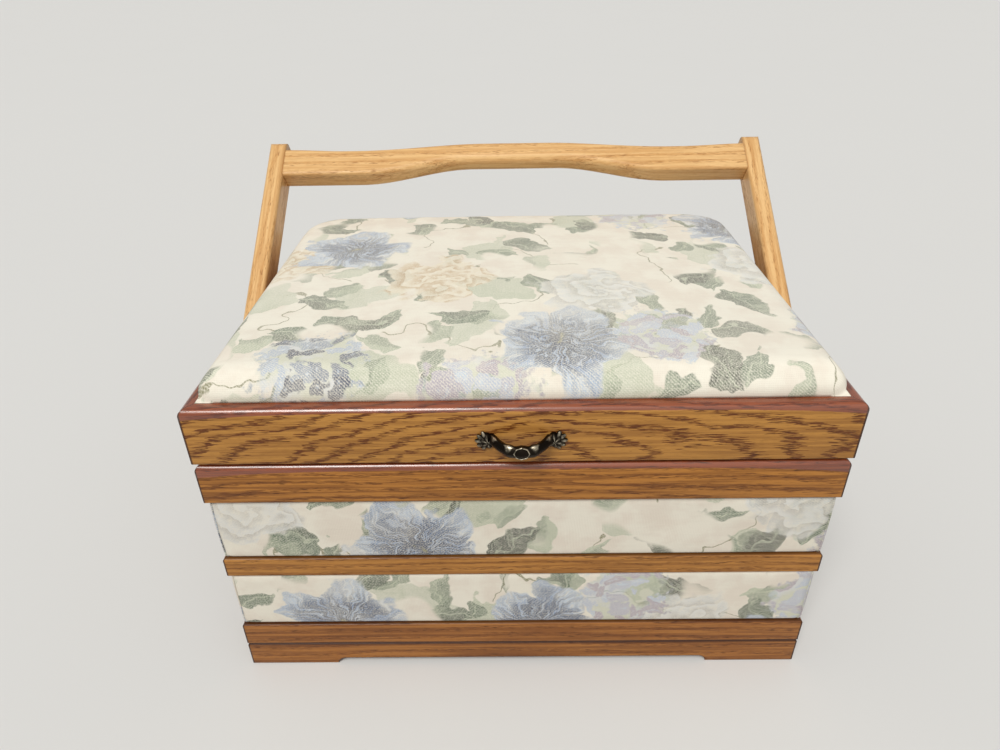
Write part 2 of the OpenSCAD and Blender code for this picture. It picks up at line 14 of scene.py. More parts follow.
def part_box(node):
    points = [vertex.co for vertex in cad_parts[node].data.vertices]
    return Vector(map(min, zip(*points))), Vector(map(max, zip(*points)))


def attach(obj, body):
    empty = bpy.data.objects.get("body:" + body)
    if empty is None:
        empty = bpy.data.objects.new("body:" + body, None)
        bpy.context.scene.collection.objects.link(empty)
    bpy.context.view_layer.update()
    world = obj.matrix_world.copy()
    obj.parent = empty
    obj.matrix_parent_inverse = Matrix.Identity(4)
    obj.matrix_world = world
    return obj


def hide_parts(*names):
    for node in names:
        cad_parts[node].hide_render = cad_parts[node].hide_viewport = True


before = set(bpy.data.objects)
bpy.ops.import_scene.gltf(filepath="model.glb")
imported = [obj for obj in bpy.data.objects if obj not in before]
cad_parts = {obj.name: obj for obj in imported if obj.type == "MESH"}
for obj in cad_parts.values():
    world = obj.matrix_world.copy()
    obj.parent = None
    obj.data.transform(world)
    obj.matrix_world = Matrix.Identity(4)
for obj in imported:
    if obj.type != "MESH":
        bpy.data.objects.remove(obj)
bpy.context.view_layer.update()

LOG = logging.getLogger("sewing_carrier")
MM = 0.001
TAU = 2 * math.pi
GREY = (0.5, 0.5, 0.5)
SIDES = ("front", "right", "back", "left")

Colour = tuple[float, float, float]
Value = Any


def tint(red: float, green: float, blue: float) -> Colour:
    """Turn a colour as seen on a screen into the linear one that a shader takes.

    Args:
        red: Red from 0 to 255.
        green: Green from 0 to 255.
        blue: Blue from 0 to 255.

    Returns:
        The linear colour.
    """
    def linear(level: float) -> float:
        """One channel."""
        part = level / 255
        return part / 12.92 if part <= 0.04045 else ((part + 0.055) / 1.055) ** 2.4

    return (linear(red), linear(green), linear(blue))


# Node helpers


class Wire:
    """An output in a node tree. Arithmetic on it adds Math or Vector Math nodes."""

    def __init__(self, desk: "NodeDesk", socket: bpy.types.NodeSocket) -> None:
        """Keep the socket, and the desk that adds nodes after it."""
        self.desk, self.socket = desk, socket

    def op(self, operation: str, other: Value = None) -> "Wire":
        """Add a Math node, or a Vector Math node after a vector or a colour.

        Args:
            operation: Its operation.
            other: The second value, where it takes one.

        Returns:
            The result.
        """
        kind = "ShaderNodeMath" if self.socket.type == "VALUE" else "ShaderNodeVectorMath"
        node = self.desk.add(kind, operation=operation)
        self.desk.feed(node.inputs[0], self)
        if other is not None:
            self.desk.feed(node.inputs[1], other)
        return Wire(self.desk, node.outputs[int(operation in ("LENGTH", "DOT_PRODUCT"))])

    def __add__(self, other: Value) -> "Wire":
        """The sum."""
        return self.op("ADD", other)

    def __sub__(self, other: Value) -> "Wire":
        """The difference."""
        return self.op("SUBTRACT", other)

    def __rsub__(self, other: Value) -> "Wire":
        """A number less this one."""
        return self * -1 + other

    def __mul__(self, other: Value) -> "Wire":
        """The product."""
        return self.op("MULTIPLY", other)

    def __truediv__(self, other: Value) -> "Wire":
        """The quotient."""
        return self.op("DIVIDE", other)

    def __pow__(self, other: Value) -> "Wire":
        """The power."""
        return self.op("POWER", other)

    def __abs__(self) -> "Wire":
        """The distance from nought."""
        return self.op("ABSOLUTE")

    def split(self) -> "list[Wire]":
        """The three parts of a vector."""
        node = self.desk.add("ShaderNodeSeparateXYZ")
        self.desk.feed(node.inputs[0], self)
        return [Wire(self.desk, part) for part in node.outputs]

    def colour(self) -> "Wire":
        """The colour that a noise node gives beside its value."""
        return Wire(self.desk, self.socket.node.outputs["Color"])

    def ramp(self, low: float, high: float, start: float = 0, end: float = 1) -> "Wire":
        """Rise smoothly from start to end as this goes from low to high.

        Args:
            low: Where the rise starts.
            high: Where it ends.
            start: Result up to low.
            end: Result from high on.

        Returns:
            The result.
        """
        node = self.desk.add("ShaderNodeMapRange", interpolation_type="SMOOTHSTEP")
        for index, value in enumerate((self, low, high, start, end)):
            self.desk.feed(node.inputs[index], value)
        return Wire(self.desk, node.outputs[0])

    def mix(self, low: Value, high: Value, mode: str = "MIX") -> "Wire":
        """Mix two colours by this mask.

        Args:
            low: Colour where the mask is 0.
            high: Colour where it is 1.
            mode: Blend mode.

        Returns:
            The colour.
        """
        node = self.desk.add("ShaderNodeMix", data_type="RGBA", blend_type=mode)
        for index, value in ((0, self), (6, low), (7, high)):
            self.desk.feed(node.inputs[index], value)
        return Wire(self.desk, node.outputs[2])

    def grain(self, scale: float = 1, detail: float = 2, rough: float = 0.5) -> "Wire":
        """Noise read at this place.

        Args:
            scale: Its scale.
            detail: Its detail.
            rough: Its roughness.

        Returns:
            The noise's value.
        """
        node = self.desk.add("ShaderNodeTexNoise", noise_dimensions="3D")
        self.desk.fill(node, Vector=self, Scale=scale, Detail=detail, Roughness=rough)
        return Wire(self.desk, node.outputs[0])

    def bump(self, strength: float, distance: float, normal: "Wire | None" = None) -> "Wire":
        """Raise the surface by this height.

        Args:
            strength: Strength of the bump.
            distance: Depth of the relief in metres.
            normal: Normal that it starts from.

        Returns:
            The normal.
        """
        node = self.desk.add("ShaderNodeBump")
        self.desk.fill(node, Strength=strength, Distance=distance, Height=self)
        if normal:
            self.desk.fill(node, Normal=normal)
        return Wire(self.desk, node.outputs[0])


class NodeDesk:
    """Adds and links shader nodes in one node tree."""

    def __init__(self, tree: bpy.types.NodeTree) -> None:
        """Keep the tree that the nodes go into."""
        self.tree = tree

    def add(self, kind: str, **settings: Any) -> bpy.types.Node:
        """Add a node.

        Args:
            kind: Type name of the node.
            **settings: Properties to set on it.

        Returns:
            The node.
        """
        node = self.tree.nodes.new(kind)
        for name, value in settings.items():
            setattr(node, name, value)
        return node

    def feed(self, socket: bpy.types.NodeSocket, value: Value) -> None:
        """Link an input to a wire, or set its own value.

        Args:
            socket: The input.
            value: A wire, a number or a tuple.
        """
        if isinstance(value, Wire):
            self.tree.links.new(value.socket, socket)
        elif isinstance(value, tuple) and socket.type == "RGBA":
            socket.default_value = (*value, 1)
        else:
            socket.default_value = value

    def fill(self, node: bpy.types.Node, **values: Value) -> None:
        """Feed a node's inputs by name, with underscores for spaces."""
        for name, value in values.items():
            self.feed(node.inputs[name.replace("_", " ")], value)

    def read(self, kind: str, output: str, **settings: Any) -> Wire:
        """Add a node that takes nothing, and use one of its outputs."""
        return Wire(self, self.add(kind, **settings).outputs[output])

    def place(self) -> Wire:
        """The place on the object in metres."""
        return self.read("ShaderNodeTexCoord", "Object")

    def join(self, x: Value, y: Value, z: Value = 0.0) -> Wire:
        """A vector from its three parts."""
        node = self.add("ShaderNodeCombineXYZ")
        self.fill(node, X=x, Y=y, Z=z)
        return Wire(self, node.outputs[0])


def paint_over(ground: Value, layers: Sequence[tuple[Wire, Value]]) -> Value:
    """Lay colours over a ground, each by its own mask.

    Args:
        ground: The first colour.
        layers: Masks and colours, from the ground up.

    Returns:
        The colour.
    """
    for mask, paint in layers:
        ground = mask.mix(ground, paint)
    return ground


class SharedEffect:
    """A shader node group, made once and placed in each material that uses it.

    An input without a number is a vector. Outputs are numbers, apart from Color and Normal.
    """

    name = ""
    takes: dict[str, float | None] = {}
    gives: tuple[str, ...] = ()

    def draw(self, desk: NodeDesk, given: dict[str, Wire]) -> dict[str, Wire]:
        """Add the nodes.

        Args:
            desk: The group's own tree.
            given: The group's inputs by name.

        Returns:
            The group's outputs by name.
        """
        raise NotImplementedError

    def tree(self) -> bpy.types.NodeTree:
        """Find the group, or make it.

        Returns:
            The node group.
        """
        found = bpy.data.node_groups.get(self.name)
        if found:
            return found
        tree = bpy.data.node_groups.new(self.name, "ShaderNodeTree")
        for name, value in self.takes.items():
            kind = "NodeSocketVector" if value is None else "NodeSocketFloat"
            socket = tree.interface.new_socket(name, in_out="INPUT", socket_type=kind)
            if value is not None:
                socket.default_value = value
        kinds = {"Color": "NodeSocketColor", "Normal": "NodeSocketVector"}
        for name in self.gives:
            tree.interface.new_socket(name, in_out="OUTPUT",
                                      socket_type=kinds.get(name, "NodeSocketFloat"))
        desk = NodeDesk(tree)
        inside = desk.add("NodeGroupInput")
        outside = desk.add("NodeGroupOutput")
        desk.fill(outside, **self.draw(desk, {name: Wire(desk, inside.outputs[name])
                                              for name in self.takes}))
        return tree

    def use(self, desk: NodeDesk, **values: Value) -> dict[str, Wire]:
        """Put the group in a material.

        Args:
            desk: The material's tree.
            **values: Inputs by name, with underscores for spaces.

        Returns:
            The outputs by name.
        """
        node = desk.add("ShaderNodeGroup", node_tree=self.tree())
        desk.fill(node, **values)
        return {name: Wire(desk, node.outputs[name]) for name in self.gives}


# Effects that several finishes share


class OakFigure(SharedEffect):
    """Growth rings of a log cut along its length, with open pores and streaks."""

    name = "oak_figure"
    takes = {"Board": None, "Shift": None, "Ring Gap": 0.0044, "Heart Height": -0.02,
             "Heart Depth": 0.025, "Crown": 0.17, "Taper": 0.15, "Lean": 0.0}
    gives = ("Rings", "Pores", "Streak", "Height")

    def draw(self, desk: NodeDesk, given: dict[str, Wire]) -> dict[str, Wire]:
        """Cut rings, break them into dashes, and lay streaks along the grain.

        Args:
            desk: The group's own tree.
            given: The group's inputs by name.

        Returns:
            The masks and the height.
        """
        along, across, deep = given["Board"].split()
        place = given["Board"] + given["Shift"]

        def fibres(long: float, wide: float, detail: float) -> Wire:
            """Noise drawn out along the grain."""
            return (place * (long, wide, wide)).grain(detail=detail)

        sway = (fibres(15, 42, 2) - 0.5) * 0.016
        depth = abs(along - given["Crown"]) * given["Taper"] + given["Heart Depth"] + (
            sway + deep)
        height = across - (along * given["Lean"] + given["Heart Height"])
        reach = (height * height + depth * depth).op("SQRT")
        frayed = (fibres(95, 1250, 2) - 0.5) * 1.05
        ring = (reach / given["Ring Gap"] + frayed).op("FRACT")
        late = ring.ramp(0.52, 0.6) * ring.ramp(0.88, 0.96, 1, 0)
        dash = fibres(170, 1900, 2).ramp(0.42, 0.5, 0.15, 1)
        pores = fibres(190, 2500, 1).ramp(0.55, 0.65) * (late * 0.75 + 0.25)
        streak = fibres(13, 520, 4)
        return {"Rings": late * dash, "Pores": pores, "Streak": streak,
                "Height": streak * 0.3 - pores}


class EdgeFinder(SharedEffect):
    """Finds a solid's edges and rounds the light over them."""

    name = "edge_finder"
    takes = {"Radius": 0.0012, "Board": None}
    gives = ("Edge", "Normal")

    def draw(self, desk: NodeDesk, given: dict[str, Wire]) -> dict[str, Wire]:
        """Compare the rounded normal with the true one.

        Args:
            desk: The group's own tree.
            given: The group's inputs by name.

        Returns:
            The edge mask and the rounded normal.
        """
        bevel = desk.add("ShaderNodeBevel", samples=6)
        desk.fill(bevel, Radius=given["Radius"])
        rounded = Wire(desk, bevel.outputs[0])
        turned = 1 - rounded.op("DOT_PRODUCT", desk.read("ShaderNodeNewGeometry", "Normal"))
        patch = given["Board"].grain(260, 3)
        return {"Edge": turned.ramp(0.01, 0.22) * patch.ramp(0.3, 0.6, 0.45, 1),
                "Normal": rounded}


class HandMarks(SharedEffect):
    """Faint smudges that vary a finish's gloss and tone."""

    name = "hand_marks"
    takes = {"Place": None}
    gives = ("Smudge",)

    def draw(self, desk: NodeDesk, given: dict[str, Wire]) -> dict[str, Wire]:
        """Lay broad noise."""
        return {"Smudge": given["Place"].grain(28, 3)}


class ClothWeave(SharedEffect):
    """Ribbed weave with slubs and a twill, read in the cloth's own flat metres."""

    name = "cloth_weave"
    takes = {"Flat": None, "Thread": 0.001}
    gives = ("Height", "Shade", "Twill")

    def draw(self, desk: NodeDesk, given: dict[str, Wire]) -> dict[str, Wire]:
        """Cross two sets of threads and run a twill over them.

        Args:
            desk: The group's own tree.
            given: The group's inputs by name.

        Returns:
            Height, a shade per thread and the twill's mask.
        """
        flat = given["Flat"]
        drift = (flat.grain(60).colour() - GREY) * (0.0016, 0.0016, 0)
        u, v, _ = (flat + drift).split()
        warp, weft = u / given["Thread"], v / given["Thread"]

        def ridge(run: Wire) -> Wire:
            """Round one set of threads."""
            return (run.op("FRACT") * math.pi).op("SINE")

        across = desk.join(u * 70, weft.op("FLOOR") * 3.7).grain()
        down = desk.join(warp.op("FLOOR") * 3.7, v * 70).grain()
        slant = ((weft * 1.35 + warp) * 2.9).op("SINE")
        return {"Height": ridge(warp) * 0.5 + (ridge(weft) * 0.5 + across),
                "Shade": (across + down) * 0.5,
                "Twill": (flat.grain(1500, 1) * 2.4 + slant).ramp(0.9, 1.9)}


@dataclass(frozen=True)
class Spray:
    """One scattered motif: how far apart, how big and how often."""

    gap: float
    scatter: float
    shift: tuple[float, float, float]
    size: float
    share: float


@dataclass(frozen=True)
class SpraySpot:
    """Where a point of the cloth lies in the motif nearest to it."""

    x: Wire
    y: Wire
    radius: Wire
    angle: Wire
    present: Wire
    odd: Wire


class FloralPrint(SharedEffect):
    """A generic garden floral in washes: blossoms, pale roses, florets, leaves and stems."""

    name = "floral_print"
    takes = {"Flat": None}
    gives = ("Color", "Ink")

    ivory = tint(243, 238, 223)
    cream = tint(236, 227, 212)
    mauve = tint(178, 168, 180)
    sage_wash = tint(204, 208, 188)
    stem = tint(92, 94, 70)
    leaf_dark = tint(28, 48, 36)
    leaf_mid = tint(82, 106, 84)
    leaf_pale = tint(182, 192, 166)
    sky = tint(196, 210, 226)
    white = tint(226, 228, 226)
    petal_blue = tint(98, 130, 176)
    slate = tint(36, 54, 90)
    olive = tint(150, 146, 100)
    rose_light = tint(236, 224, 198)
    rose_deep = tint(200, 168, 122)
    grey_rose = tint(196, 194, 188)

    blossoms = Spray(0.122, 0.55, (0.041, 0.066, 0), 0.042, 0.62)
    roses = Spray(0.104, 0.6, (0.093, 0.012, 0), 0.038, 0.6)
    washes = Spray(0.066, 0.8, (0.007, 0.051, 0), 0.056, 0.7)
    big_leaves = Spray(0.043, 0.75, (0.013, 0.027, 0), 0.04, 0.8)
    small_leaves = Spray(0.031, 0.85, (0.031, 0.009, 0), 0.027, 0.6)
    florets = Spray(0.0094, 0.8, (0.005, 0.002, 0), 0.0056, 0.95)
    clusters = Spray(0.094, 0.7, (0.002, 0.05, 0), 0.029, 0.55)
    stems = Spray(0.068, 0.8, (0.022, 0.033, 0), 0.031, 0.85)

    def spot(self, cloth: Wire, spray: Spray) -> SpraySpot:
        """Find the nearest motif of a spray.

        Args:
            cloth: Flat place in metres.
            spray: The motif's spacing.

        Returns:
            The place in the motif.
        """
        desk = cloth.desk
        moved = cloth + spray.shift
        cells = desk.add("ShaderNodeTexVoronoi", voronoi_dimensions="2D", feature="F1")
        desk.fill(cells, Vector=moved, Scale=1 / spray.gap, Randomness=spray.scatter)
        chance, turn, odd = Wire(desk, cells.outputs["Color"]).split()
        flat = (moved - Wire(desk, cells.outputs["Position"])) * (1, 1, 0)
        x, y, _ = flat.split()
        spin = turn * TAU
        cos, sin = spin.op("COSINE"), spin.op("SINE")
        turned_x, turned_y = x * cos + y * sin, y * cos - x * sin
        return SpraySpot(turned_x, turned_y, flat.op("LENGTH"),
                         turned_y.op("ARCTAN2", turned_x),
                         chance.op("LESS_THAN", spray.share), odd)

    def petals(self, at: SpraySpot, size: float, count: int, turn: float,
               ragged: Wire) -> Wire:
        """How far inside a ring of petals a point is.

        Args:
            at: Place in the motif.
            size: Reach of the petals in metres.
            count: Number of petals.
            turn: Turn of the ring in radians.
            ragged: Noise that frays the edge.

        Returns:
            Metres inside the edge, negative outside.
        """
        wave = abs((at.angle * (count / 2) + turn).op("COSINE"))
        return wave ** 0.7 * (0.32 * size) + 0.62 * size + ragged * (0.5 * size) - at.radius

    def leaf(self, at: SpraySpot, size: float, girth: float,
             ragged: Wire) -> tuple[Wire, Wire, Wire]:
        """Draw a leaf.

        Args:
            at: Place in the motif.
            size: Length of the leaf in metres.
            girth: Half of its width, as a share of its length.
            ragged: Noise that frays the edge.

        Returns:
            The masks of the leaf, its veins and its darker half.
        """
        run = (at.x / size + 0.5).op("MAXIMUM", 0.0).op("MINIMUM", 1.0)
        belly = (run ** 0.7 * math.pi).op("SINE")
        off = at.y - belly * (0.1 * size)
        side = abs(off)
        width = belly * (ragged * (0.45 * size) + girth * size)
        comb = ((at.x - side) * (TAU * 7 / size)).op("SINE").ramp(0.7, 1, 0, 0.4)
        veins = side.ramp(0.0002, 0.0008, 0.8, 0).op("MAXIMUM", comb)
        return ((width - side).ramp(-0.0002, 0.0012) * at.present, veins,
                off.ramp(-0.1 * size, 0.04 * size, 1, 0))

    def blossom(self, cloth: Wire, ragged: Wire, fine: Wire) -> tuple[Wire, Wire]:
        """Paint the large blue blossoms.

        Args:
            cloth: Flat place in metres.
            ragged: Broad noise about nought.
            fine: Fine noise about nought.

        Returns:
            The mask and the colour.
        """
        size = self.blossoms.size
        at = self.spot(cloth, self.blossoms)
        outer = self.petals(at, size, 5, 0.0, ragged)
        inner = self.petals(at, size * 0.66, 4, 0.9, ragged)
        share = at.radius / size
        heart = fine * 0.012 + at.radius
        fold = (at.angle * (5 / TAU) + ragged * 0.9).op("FRACT")

        def brush(turns: float, reach: float, detail: float, rough: float = 0.5) -> Wire:
            """Noise drawn out from the heart."""
            return cloth.desk.join(at.angle * turns, at.radius * reach).grain(1, detail, rough)

        strokes = brush(11, 60, 3).ramp(0.58, 0.48) * share.ramp(0.2, 0.9, 1, 0.15)
        paint = paint_over(self.petal_blue, (
            (share.ramp(0.1, 0.7), self.sky),
            (fold.ramp(0.1, 0.9, 0.35, 0), self.petal_blue),
            (brush(4.2, 34, 4, 0.62).ramp(0.48, 0.62, 0, 0.85), self.white),
            (inner.ramp(-0.002, 0.003, 0, 0.45), self.petal_blue),
            (inner.ramp(0.004, 0.014, 0, 0.6), self.sky),
            (strokes, self.slate),
            (heart.ramp(0.003, 0.008, 0.85, 0), self.slate),
            (heart.ramp(0.001, 0.0028, 0.8, 0), self.olive)))
        return (fine * 0.006 + outer).ramp(-0.0004, 0.003) * at.present, paint

    def rose(self, cloth: Wire, ragged: Wire, fine: Wire) -> tuple[Wire, Wire]:
        """Paint the pale roses.

        Args:
            cloth: Flat place in metres.
            ragged: Broad noise about nought.
            fine: Fine noise about nought.

        Returns:
            The mask and the colour.
        """
        size = self.roses.size
        at = self.spot(cloth, self.roses)
        inside = self.petals(at, size, 5, 0.4, ragged)
        ruffle = (at.angle * 5).op("SINE") * 0.16
        swirl = at.radius * (3.1 / size) + (ruffle + ragged * 3.4)
        fold = (at.angle * (2 / TAU) + swirl).op("FRACT")
        kind = at.odd.ramp(0.35, 0.6)
        paint = paint_over(kind.mix(self.rose_deep, self.grey_rose), (
            (fold.ramp(0, 0.8), kind.mix(self.rose_light, self.white)),
            (fine.ramp(-0.02, 0.14, 0, 0.5), self.ivory)))
        return inside.ramp(-0.001, 0.0035) * at.present * 0.85, paint

    def tendril(self, cloth: Wire, fine: Wire) -> Wire:
        """Mask of the winding stems, each with a bud at its end.

        Args:
            cloth: Flat place in metres, only gently warped.
            fine: Fine noise about nought.

        Returns:
            The mask.
        """
        size = self.stems.size
        at = self.spot(cloth, self.stems)
        off = at.y - (at.x * (3.4 / size) + at.odd * 4).op("SINE") * (0.22 * size)
        line = abs(off).ramp(0.0003, 0.0007, 0.9, 0) * abs(at.x).ramp(size * 0.94, size, 1, 0)
        tip = cloth.desk.join(at.x - size * 0.96, off).op("LENGTH")
        bud = (fine * 0.005 + tip).ramp(0.0019, 0.0029, 0.95, 0)
        return line.op("MAXIMUM", bud) * at.present

    def draw(self, desk: NodeDesk, given: dict[str, Wire]) -> dict[str, Wire]:
        """Paint the layers from the ground up.

        Args:
            desk: The group's own tree.
            given: The group's inputs by name.

        Returns:
            The colour of the print and the mask of what is printed.
        """
        flat = given["Flat"]
        rough, broad = flat.grain(210, 4, 0.6), flat.grain(52, 2)
        fine, ragged = rough - 0.5, broad - 0.5
        warp = (broad.colour() - GREY) * (0.03, 0.03, 0)
        cloth = flat + (rough.colour() - GREY) * (0.0042, 0.0042, 0) + warp
        tone = flat.grain(42, 4, 0.6)
        leafy = flat.grain(19, 1).ramp(0.42, 0.47)

        layers = [(self.tendril(flat + warp, fine), tone.mix(self.stem, self.olive))]
        for spray, girth, tones, part in (
                (self.washes, 0.3, (self.sage_wash, self.leaf_pale), 0.8),
                (self.small_leaves, 0.26, (self.leaf_mid, self.leaf_pale), 0.9),
                (self.big_leaves, 0.25, (self.leaf_dark, self.leaf_mid), 0.95)):
            at = self.spot(cloth, spray)
            mask, veins, shaded = self.leaf(at, spray.size, girth, ragged)
            layers.append((mask * leafy * part, paint_over(tones[0], (
                (at.odd.ramp(0.2, 0.8), tones[1]),
                (tone.ramp(0.46, 0.62, 0, 0.6), self.leaf_pale),
                (shaded * 0.5, tones[0]), (veins, self.leaf_pale)))))
        layers += [self.rose(cloth, ragged, fine), self.blossom(cloth, ragged, fine)]

        size = self.clusters.size
        group = self.spot(cloth, self.clusters)
        near = (fine * 0.03 + group.radius).ramp(size * 0.8, size, 1, 0) * group.present
        layers.append((near * 0.55, tone.ramp(0.42, 0.6).mix(self.leaf_pale, self.sky)))
        size = self.florets.size
        at = self.spot(cloth, self.florets)
        inside = self.petals(at, size, 4, 0.0, fine).ramp(-0.0004, 0.0006)
        light = at.odd.ramp(0.1, 0.9, 0, 0.8) + at.radius.ramp(0, 0.3 * size, 0.6, 0)
        layers.append((inside * (near * at.present), light.mix(
            group.odd.ramp(0.35, 0.6).mix(self.slate, self.mauve), self.sky)))

        colour = paint_over(tone.ramp(0.4, 0.62).mix(self.ivory, self.cream), layers)
        ink = layers[0][0]
        for mask, _ in layers[1:]:
            ink = ink.op("MAXIMUM", mask)
        return {"Color": flat.grain(15).ramp(0.54, 0.68, 0, 0.3).mix(colour, self.ivory),
                "Ink": ink}


OAK_FIGURE = OakFigure()
EDGE_FINDER = EdgeFinder()
HAND_MARKS = HandMarks()
CLOTH_WEAVE = ClothWeave()
FLORAL_PRINT = FloralPrint()


# Finishes


class Grain(Enum):
    """The way a board's grain runs."""

    WIDTH = "width"
    DEPTH = "depth"
    ARM = "arm"
    CROSSBAR = "crossbar"


SIDE_GRAINS = (Grain.WIDTH, Grain.DEPTH) * 2
HANDLE_LEAN = math.radians(54.3)
HANDLE_PIVOT = Vector((0, -7.2, 146)) * MM


def new_material(name: str) -> tuple[bpy.types.Material, NodeDesk, bpy.types.Node]:
    """Make a material with an empty Principled shader.

    Args:
        name: The material's name.

    Returns:
        The material, its desk and its shader.
    """
    material = bpy.data.materials.new(name)
    material.use_nodes = True
    material.node_tree.nodes.clear()
    desk = NodeDesk(material.node_tree)
    shader = desk.add("ShaderNodeBsdfPrincipled")
    desk.fill(desk.add("ShaderNodeOutputMaterial"), Surface=Wire(desk, shader.outputs[0]))
    return material, desk, shader


@dataclass(frozen=True)
class StainLine:
    """Red-brown stain on a board's upper edge, which runs lower near the corners."""

    middle: float
    corner: float
    light: Colour = tint(148, 76, 42)
    dark: Colour = tint(104, 44, 20)
    half_width: float = 0.17
    half_depth: float = 0.132

    def mask(self, desk: NodeDesk, grain: Grain) -> Wire:
        """Where the stain is.

        Args:
            desk: The material's tree.
            grain: The way the board runs.

        Returns:
            The mask.
        """
        place = desk.place()
        x, y, z = place.split()
        share = x / self.half_width if grain is Grain.WIDTH else y / self.half_depth
        line = abs(share) ** 5 * (self.corner - self.middle) + self.middle
        return (place.grain(130) * 0.0009 + z - line).ramp(0.0002, 0.0007)


@dataclass(frozen=True)
class WoodFinish:
    """Stained and lacquered wood."""

    name: str
    light: Colour
    dark: Colour
    pore: Colour
    edge: Colour
    figure: float = 0.85
    streaks: float = 0.4
    edge_share: float = 0.55
    ring_gap: float = 0.0044
    heart_height: float = -0.02
    heart_depth: float = 0.025
    crown: float = 0.17
    taper: float = 0.15
    lean: float = 0.0
    roughness: float = 0.38
    coat: float = 0.12
    radius: float = 0.0012
    relief: float = 0.22
    mitre_dark: float = 0.9
    groove_dark: float = 0.95
    stain: StainLine | None = None

    def board(self, desk: NodeDesk, grain: Grain, origin: Vector) -> Wire:
        """Turn object metres into metres along, across and into the board.

        Args:
            desk: The material's tree.
            grain: The way the grain runs.
            origin: A point of the board.

        Returns:
            The vector.
        """
        x, y, z = (desk.place() - tuple(origin)).split()
        if grain is Grain.WIDTH:
            return desk.join(x, z, y)
        if grain is Grain.DEPTH:
            return desk.join(y, z, x)
        sin, cos = math.sin(HANDLE_LEAN), math.cos(HANDLE_LEAN)
        up, out = y * sin + z * cos, y * cos - z * sin
        return desk.join(up, out, x) if grain is Grain.ARM else desk.join(x, up, out)

    def material(self, label: str, grain: Grain, origin: Vector, seed: float = 0,
                 grooves: Sequence[float] = (), length: float = 0) -> bpy.types.Material:
        """Make the finish for one board.

        Args:
            label: Name of the board.
            grain: The way the grain runs.
            origin: A point of the board.
            seed: Picks another part of the log.
            grooves: Heights in metres where the board darkens in thin lines.
            length: Length of a board whose mitred ends show as dark lines.

        Returns:
            The material.
        """
        material, desk, shader = new_material(f"{self.name}_{label}")
        board = self.board(desk, grain, origin)
        figure = OAK_FIGURE.use(
            desk, Board=board, Shift=(seed * 0.731, seed * 0.37, seed * 0.113),
            Ring_Gap=self.ring_gap, Heart_Height=self.heart_height,
            Heart_Depth=self.heart_depth, Crown=self.crown + 0.05 * math.sin(9 * seed),
            Taper=self.taper, Lean=self.lean)
        edge = EDGE_FINDER.use(desk, Radius=self.radius, Board=board)
        smudge = HAND_MARKS.use(desk, Place=board)["Smudge"]
        light, dark, rubbed, coat = self.light, self.dark, self.edge, self.coat
        gloss = smudge * 0.16 + (self.roughness - 0.08)
        if self.stain:
            stained = self.stain.mask(desk, grain)
            light = rubbed = stained.mix(light, self.stain.light)
            dark = stained.mix(dark, self.stain.dark)
            gloss, coat = gloss - stained * 0.12, stained * 0.8 + coat
        layers = [(figure["Streak"].ramp(0.4, 0.62, 0, self.streaks), dark),
                  (smudge.ramp(0.4, 0.7, 0, 0.3), rubbed),
                  (figure["Rings"] * self.figure, dark),
                  (figure["Pores"] * 0.7, self.pore),
                  # Edges and inside corners darken towards the pore colour: dirt, with painted
                  # shade where parts meet.
                  (edge["Edge"] * self.edge_share, self.pore)]
        if length:
            along = board.split()[0]
            end = along.op("MINIMUM", length - along)
            layers.append((end.ramp(0.0004, 0.0011, self.mitre_dark, 0), self.pore))
        # A thin dark line at each height: in the base's groove and along the top edges of the
        # base and the strip.
        for level in grooves:
            off = abs(desk.place().split()[2] - level)
            layers.append((off.ramp(0.0005, 0.0018, self.groove_dark, 0), self.pore))
        desk.fill(shader, Base_Color=paint_over(light, layers),
                  Roughness=figure["Pores"] * 0.2 + gloss, Coat_Weight=coat,
                  Coat_Roughness=0.22, Coat_IOR=1.65 if self.stain else 1.5,
                  Specular_IOR_Level=0.3,
                  Normal=figure["Height"].bump(self.relief, 0.3 * MM, edge["Normal"]))
        return material


@dataclass(frozen=True)
class ClothFinish:
    """Woven cloth, plain or with the floral print."""

    name: str
    base: Colour
    printed: bool = False
    thread: float = 0.00085
    relief: float = 0.22
    # fade: share of the print washed towards the ground colour; on the pad this is painted
    # glare from the sheen on its top.
    fade: float = 0.0

    def material(self, label: str, flat: Callable[[NodeDesk], Wire]) -> bpy.types.Material:
        """Make the finish.

        Args:
            label: Name of the piece.
            flat: Gives the cloth's own flat metres.

        Returns:
            The material.
        """
        material, desk, shader = new_material(f"{self.name}_{label}")
        place = flat(desk)
        weave = CLOTH_WEAVE.use(desk, Flat=place, Thread=self.thread)
        height, shade = weave["Height"], weave["Shade"]
        if self.printed:
            floral = FLORAL_PRINT.use(desk, Flat=place)
            dots = place.grain(1300, 1).ramp(0.48, 0.6, 0, 0.36)
            # Washing the print towards the ground colour by fade paints glare on the pad.
            bare = dots * floral["Ink"] + self.fade + weave["Twill"] * (floral["Ink"] * 0.3)
            colour = paint_over(floral["Color"], (
                (bare, self.base), (shade.ramp(0.5, 0.62, 0, 0.14), self.base)))
        else:
            colour = shade.ramp(0.35, 0.7, 0, 0.3).mix(self.base, (1, 1, 1))
        # Painted shade: the cloth darkens between the threads, where the weave is low.
        colour = height.ramp(0.3, 1.1, 0.16, 0).mix(colour, tint(120, 112, 96), "MULTIPLY")
        desk.fill(shader, Base_Color=colour, Roughness=shade.ramp(0.3, 0.7, 0.8, 0.95),
                  Sheen_Weight=0.1, Normal=height.bump(self.relief, 0.3 * MM))
        return material


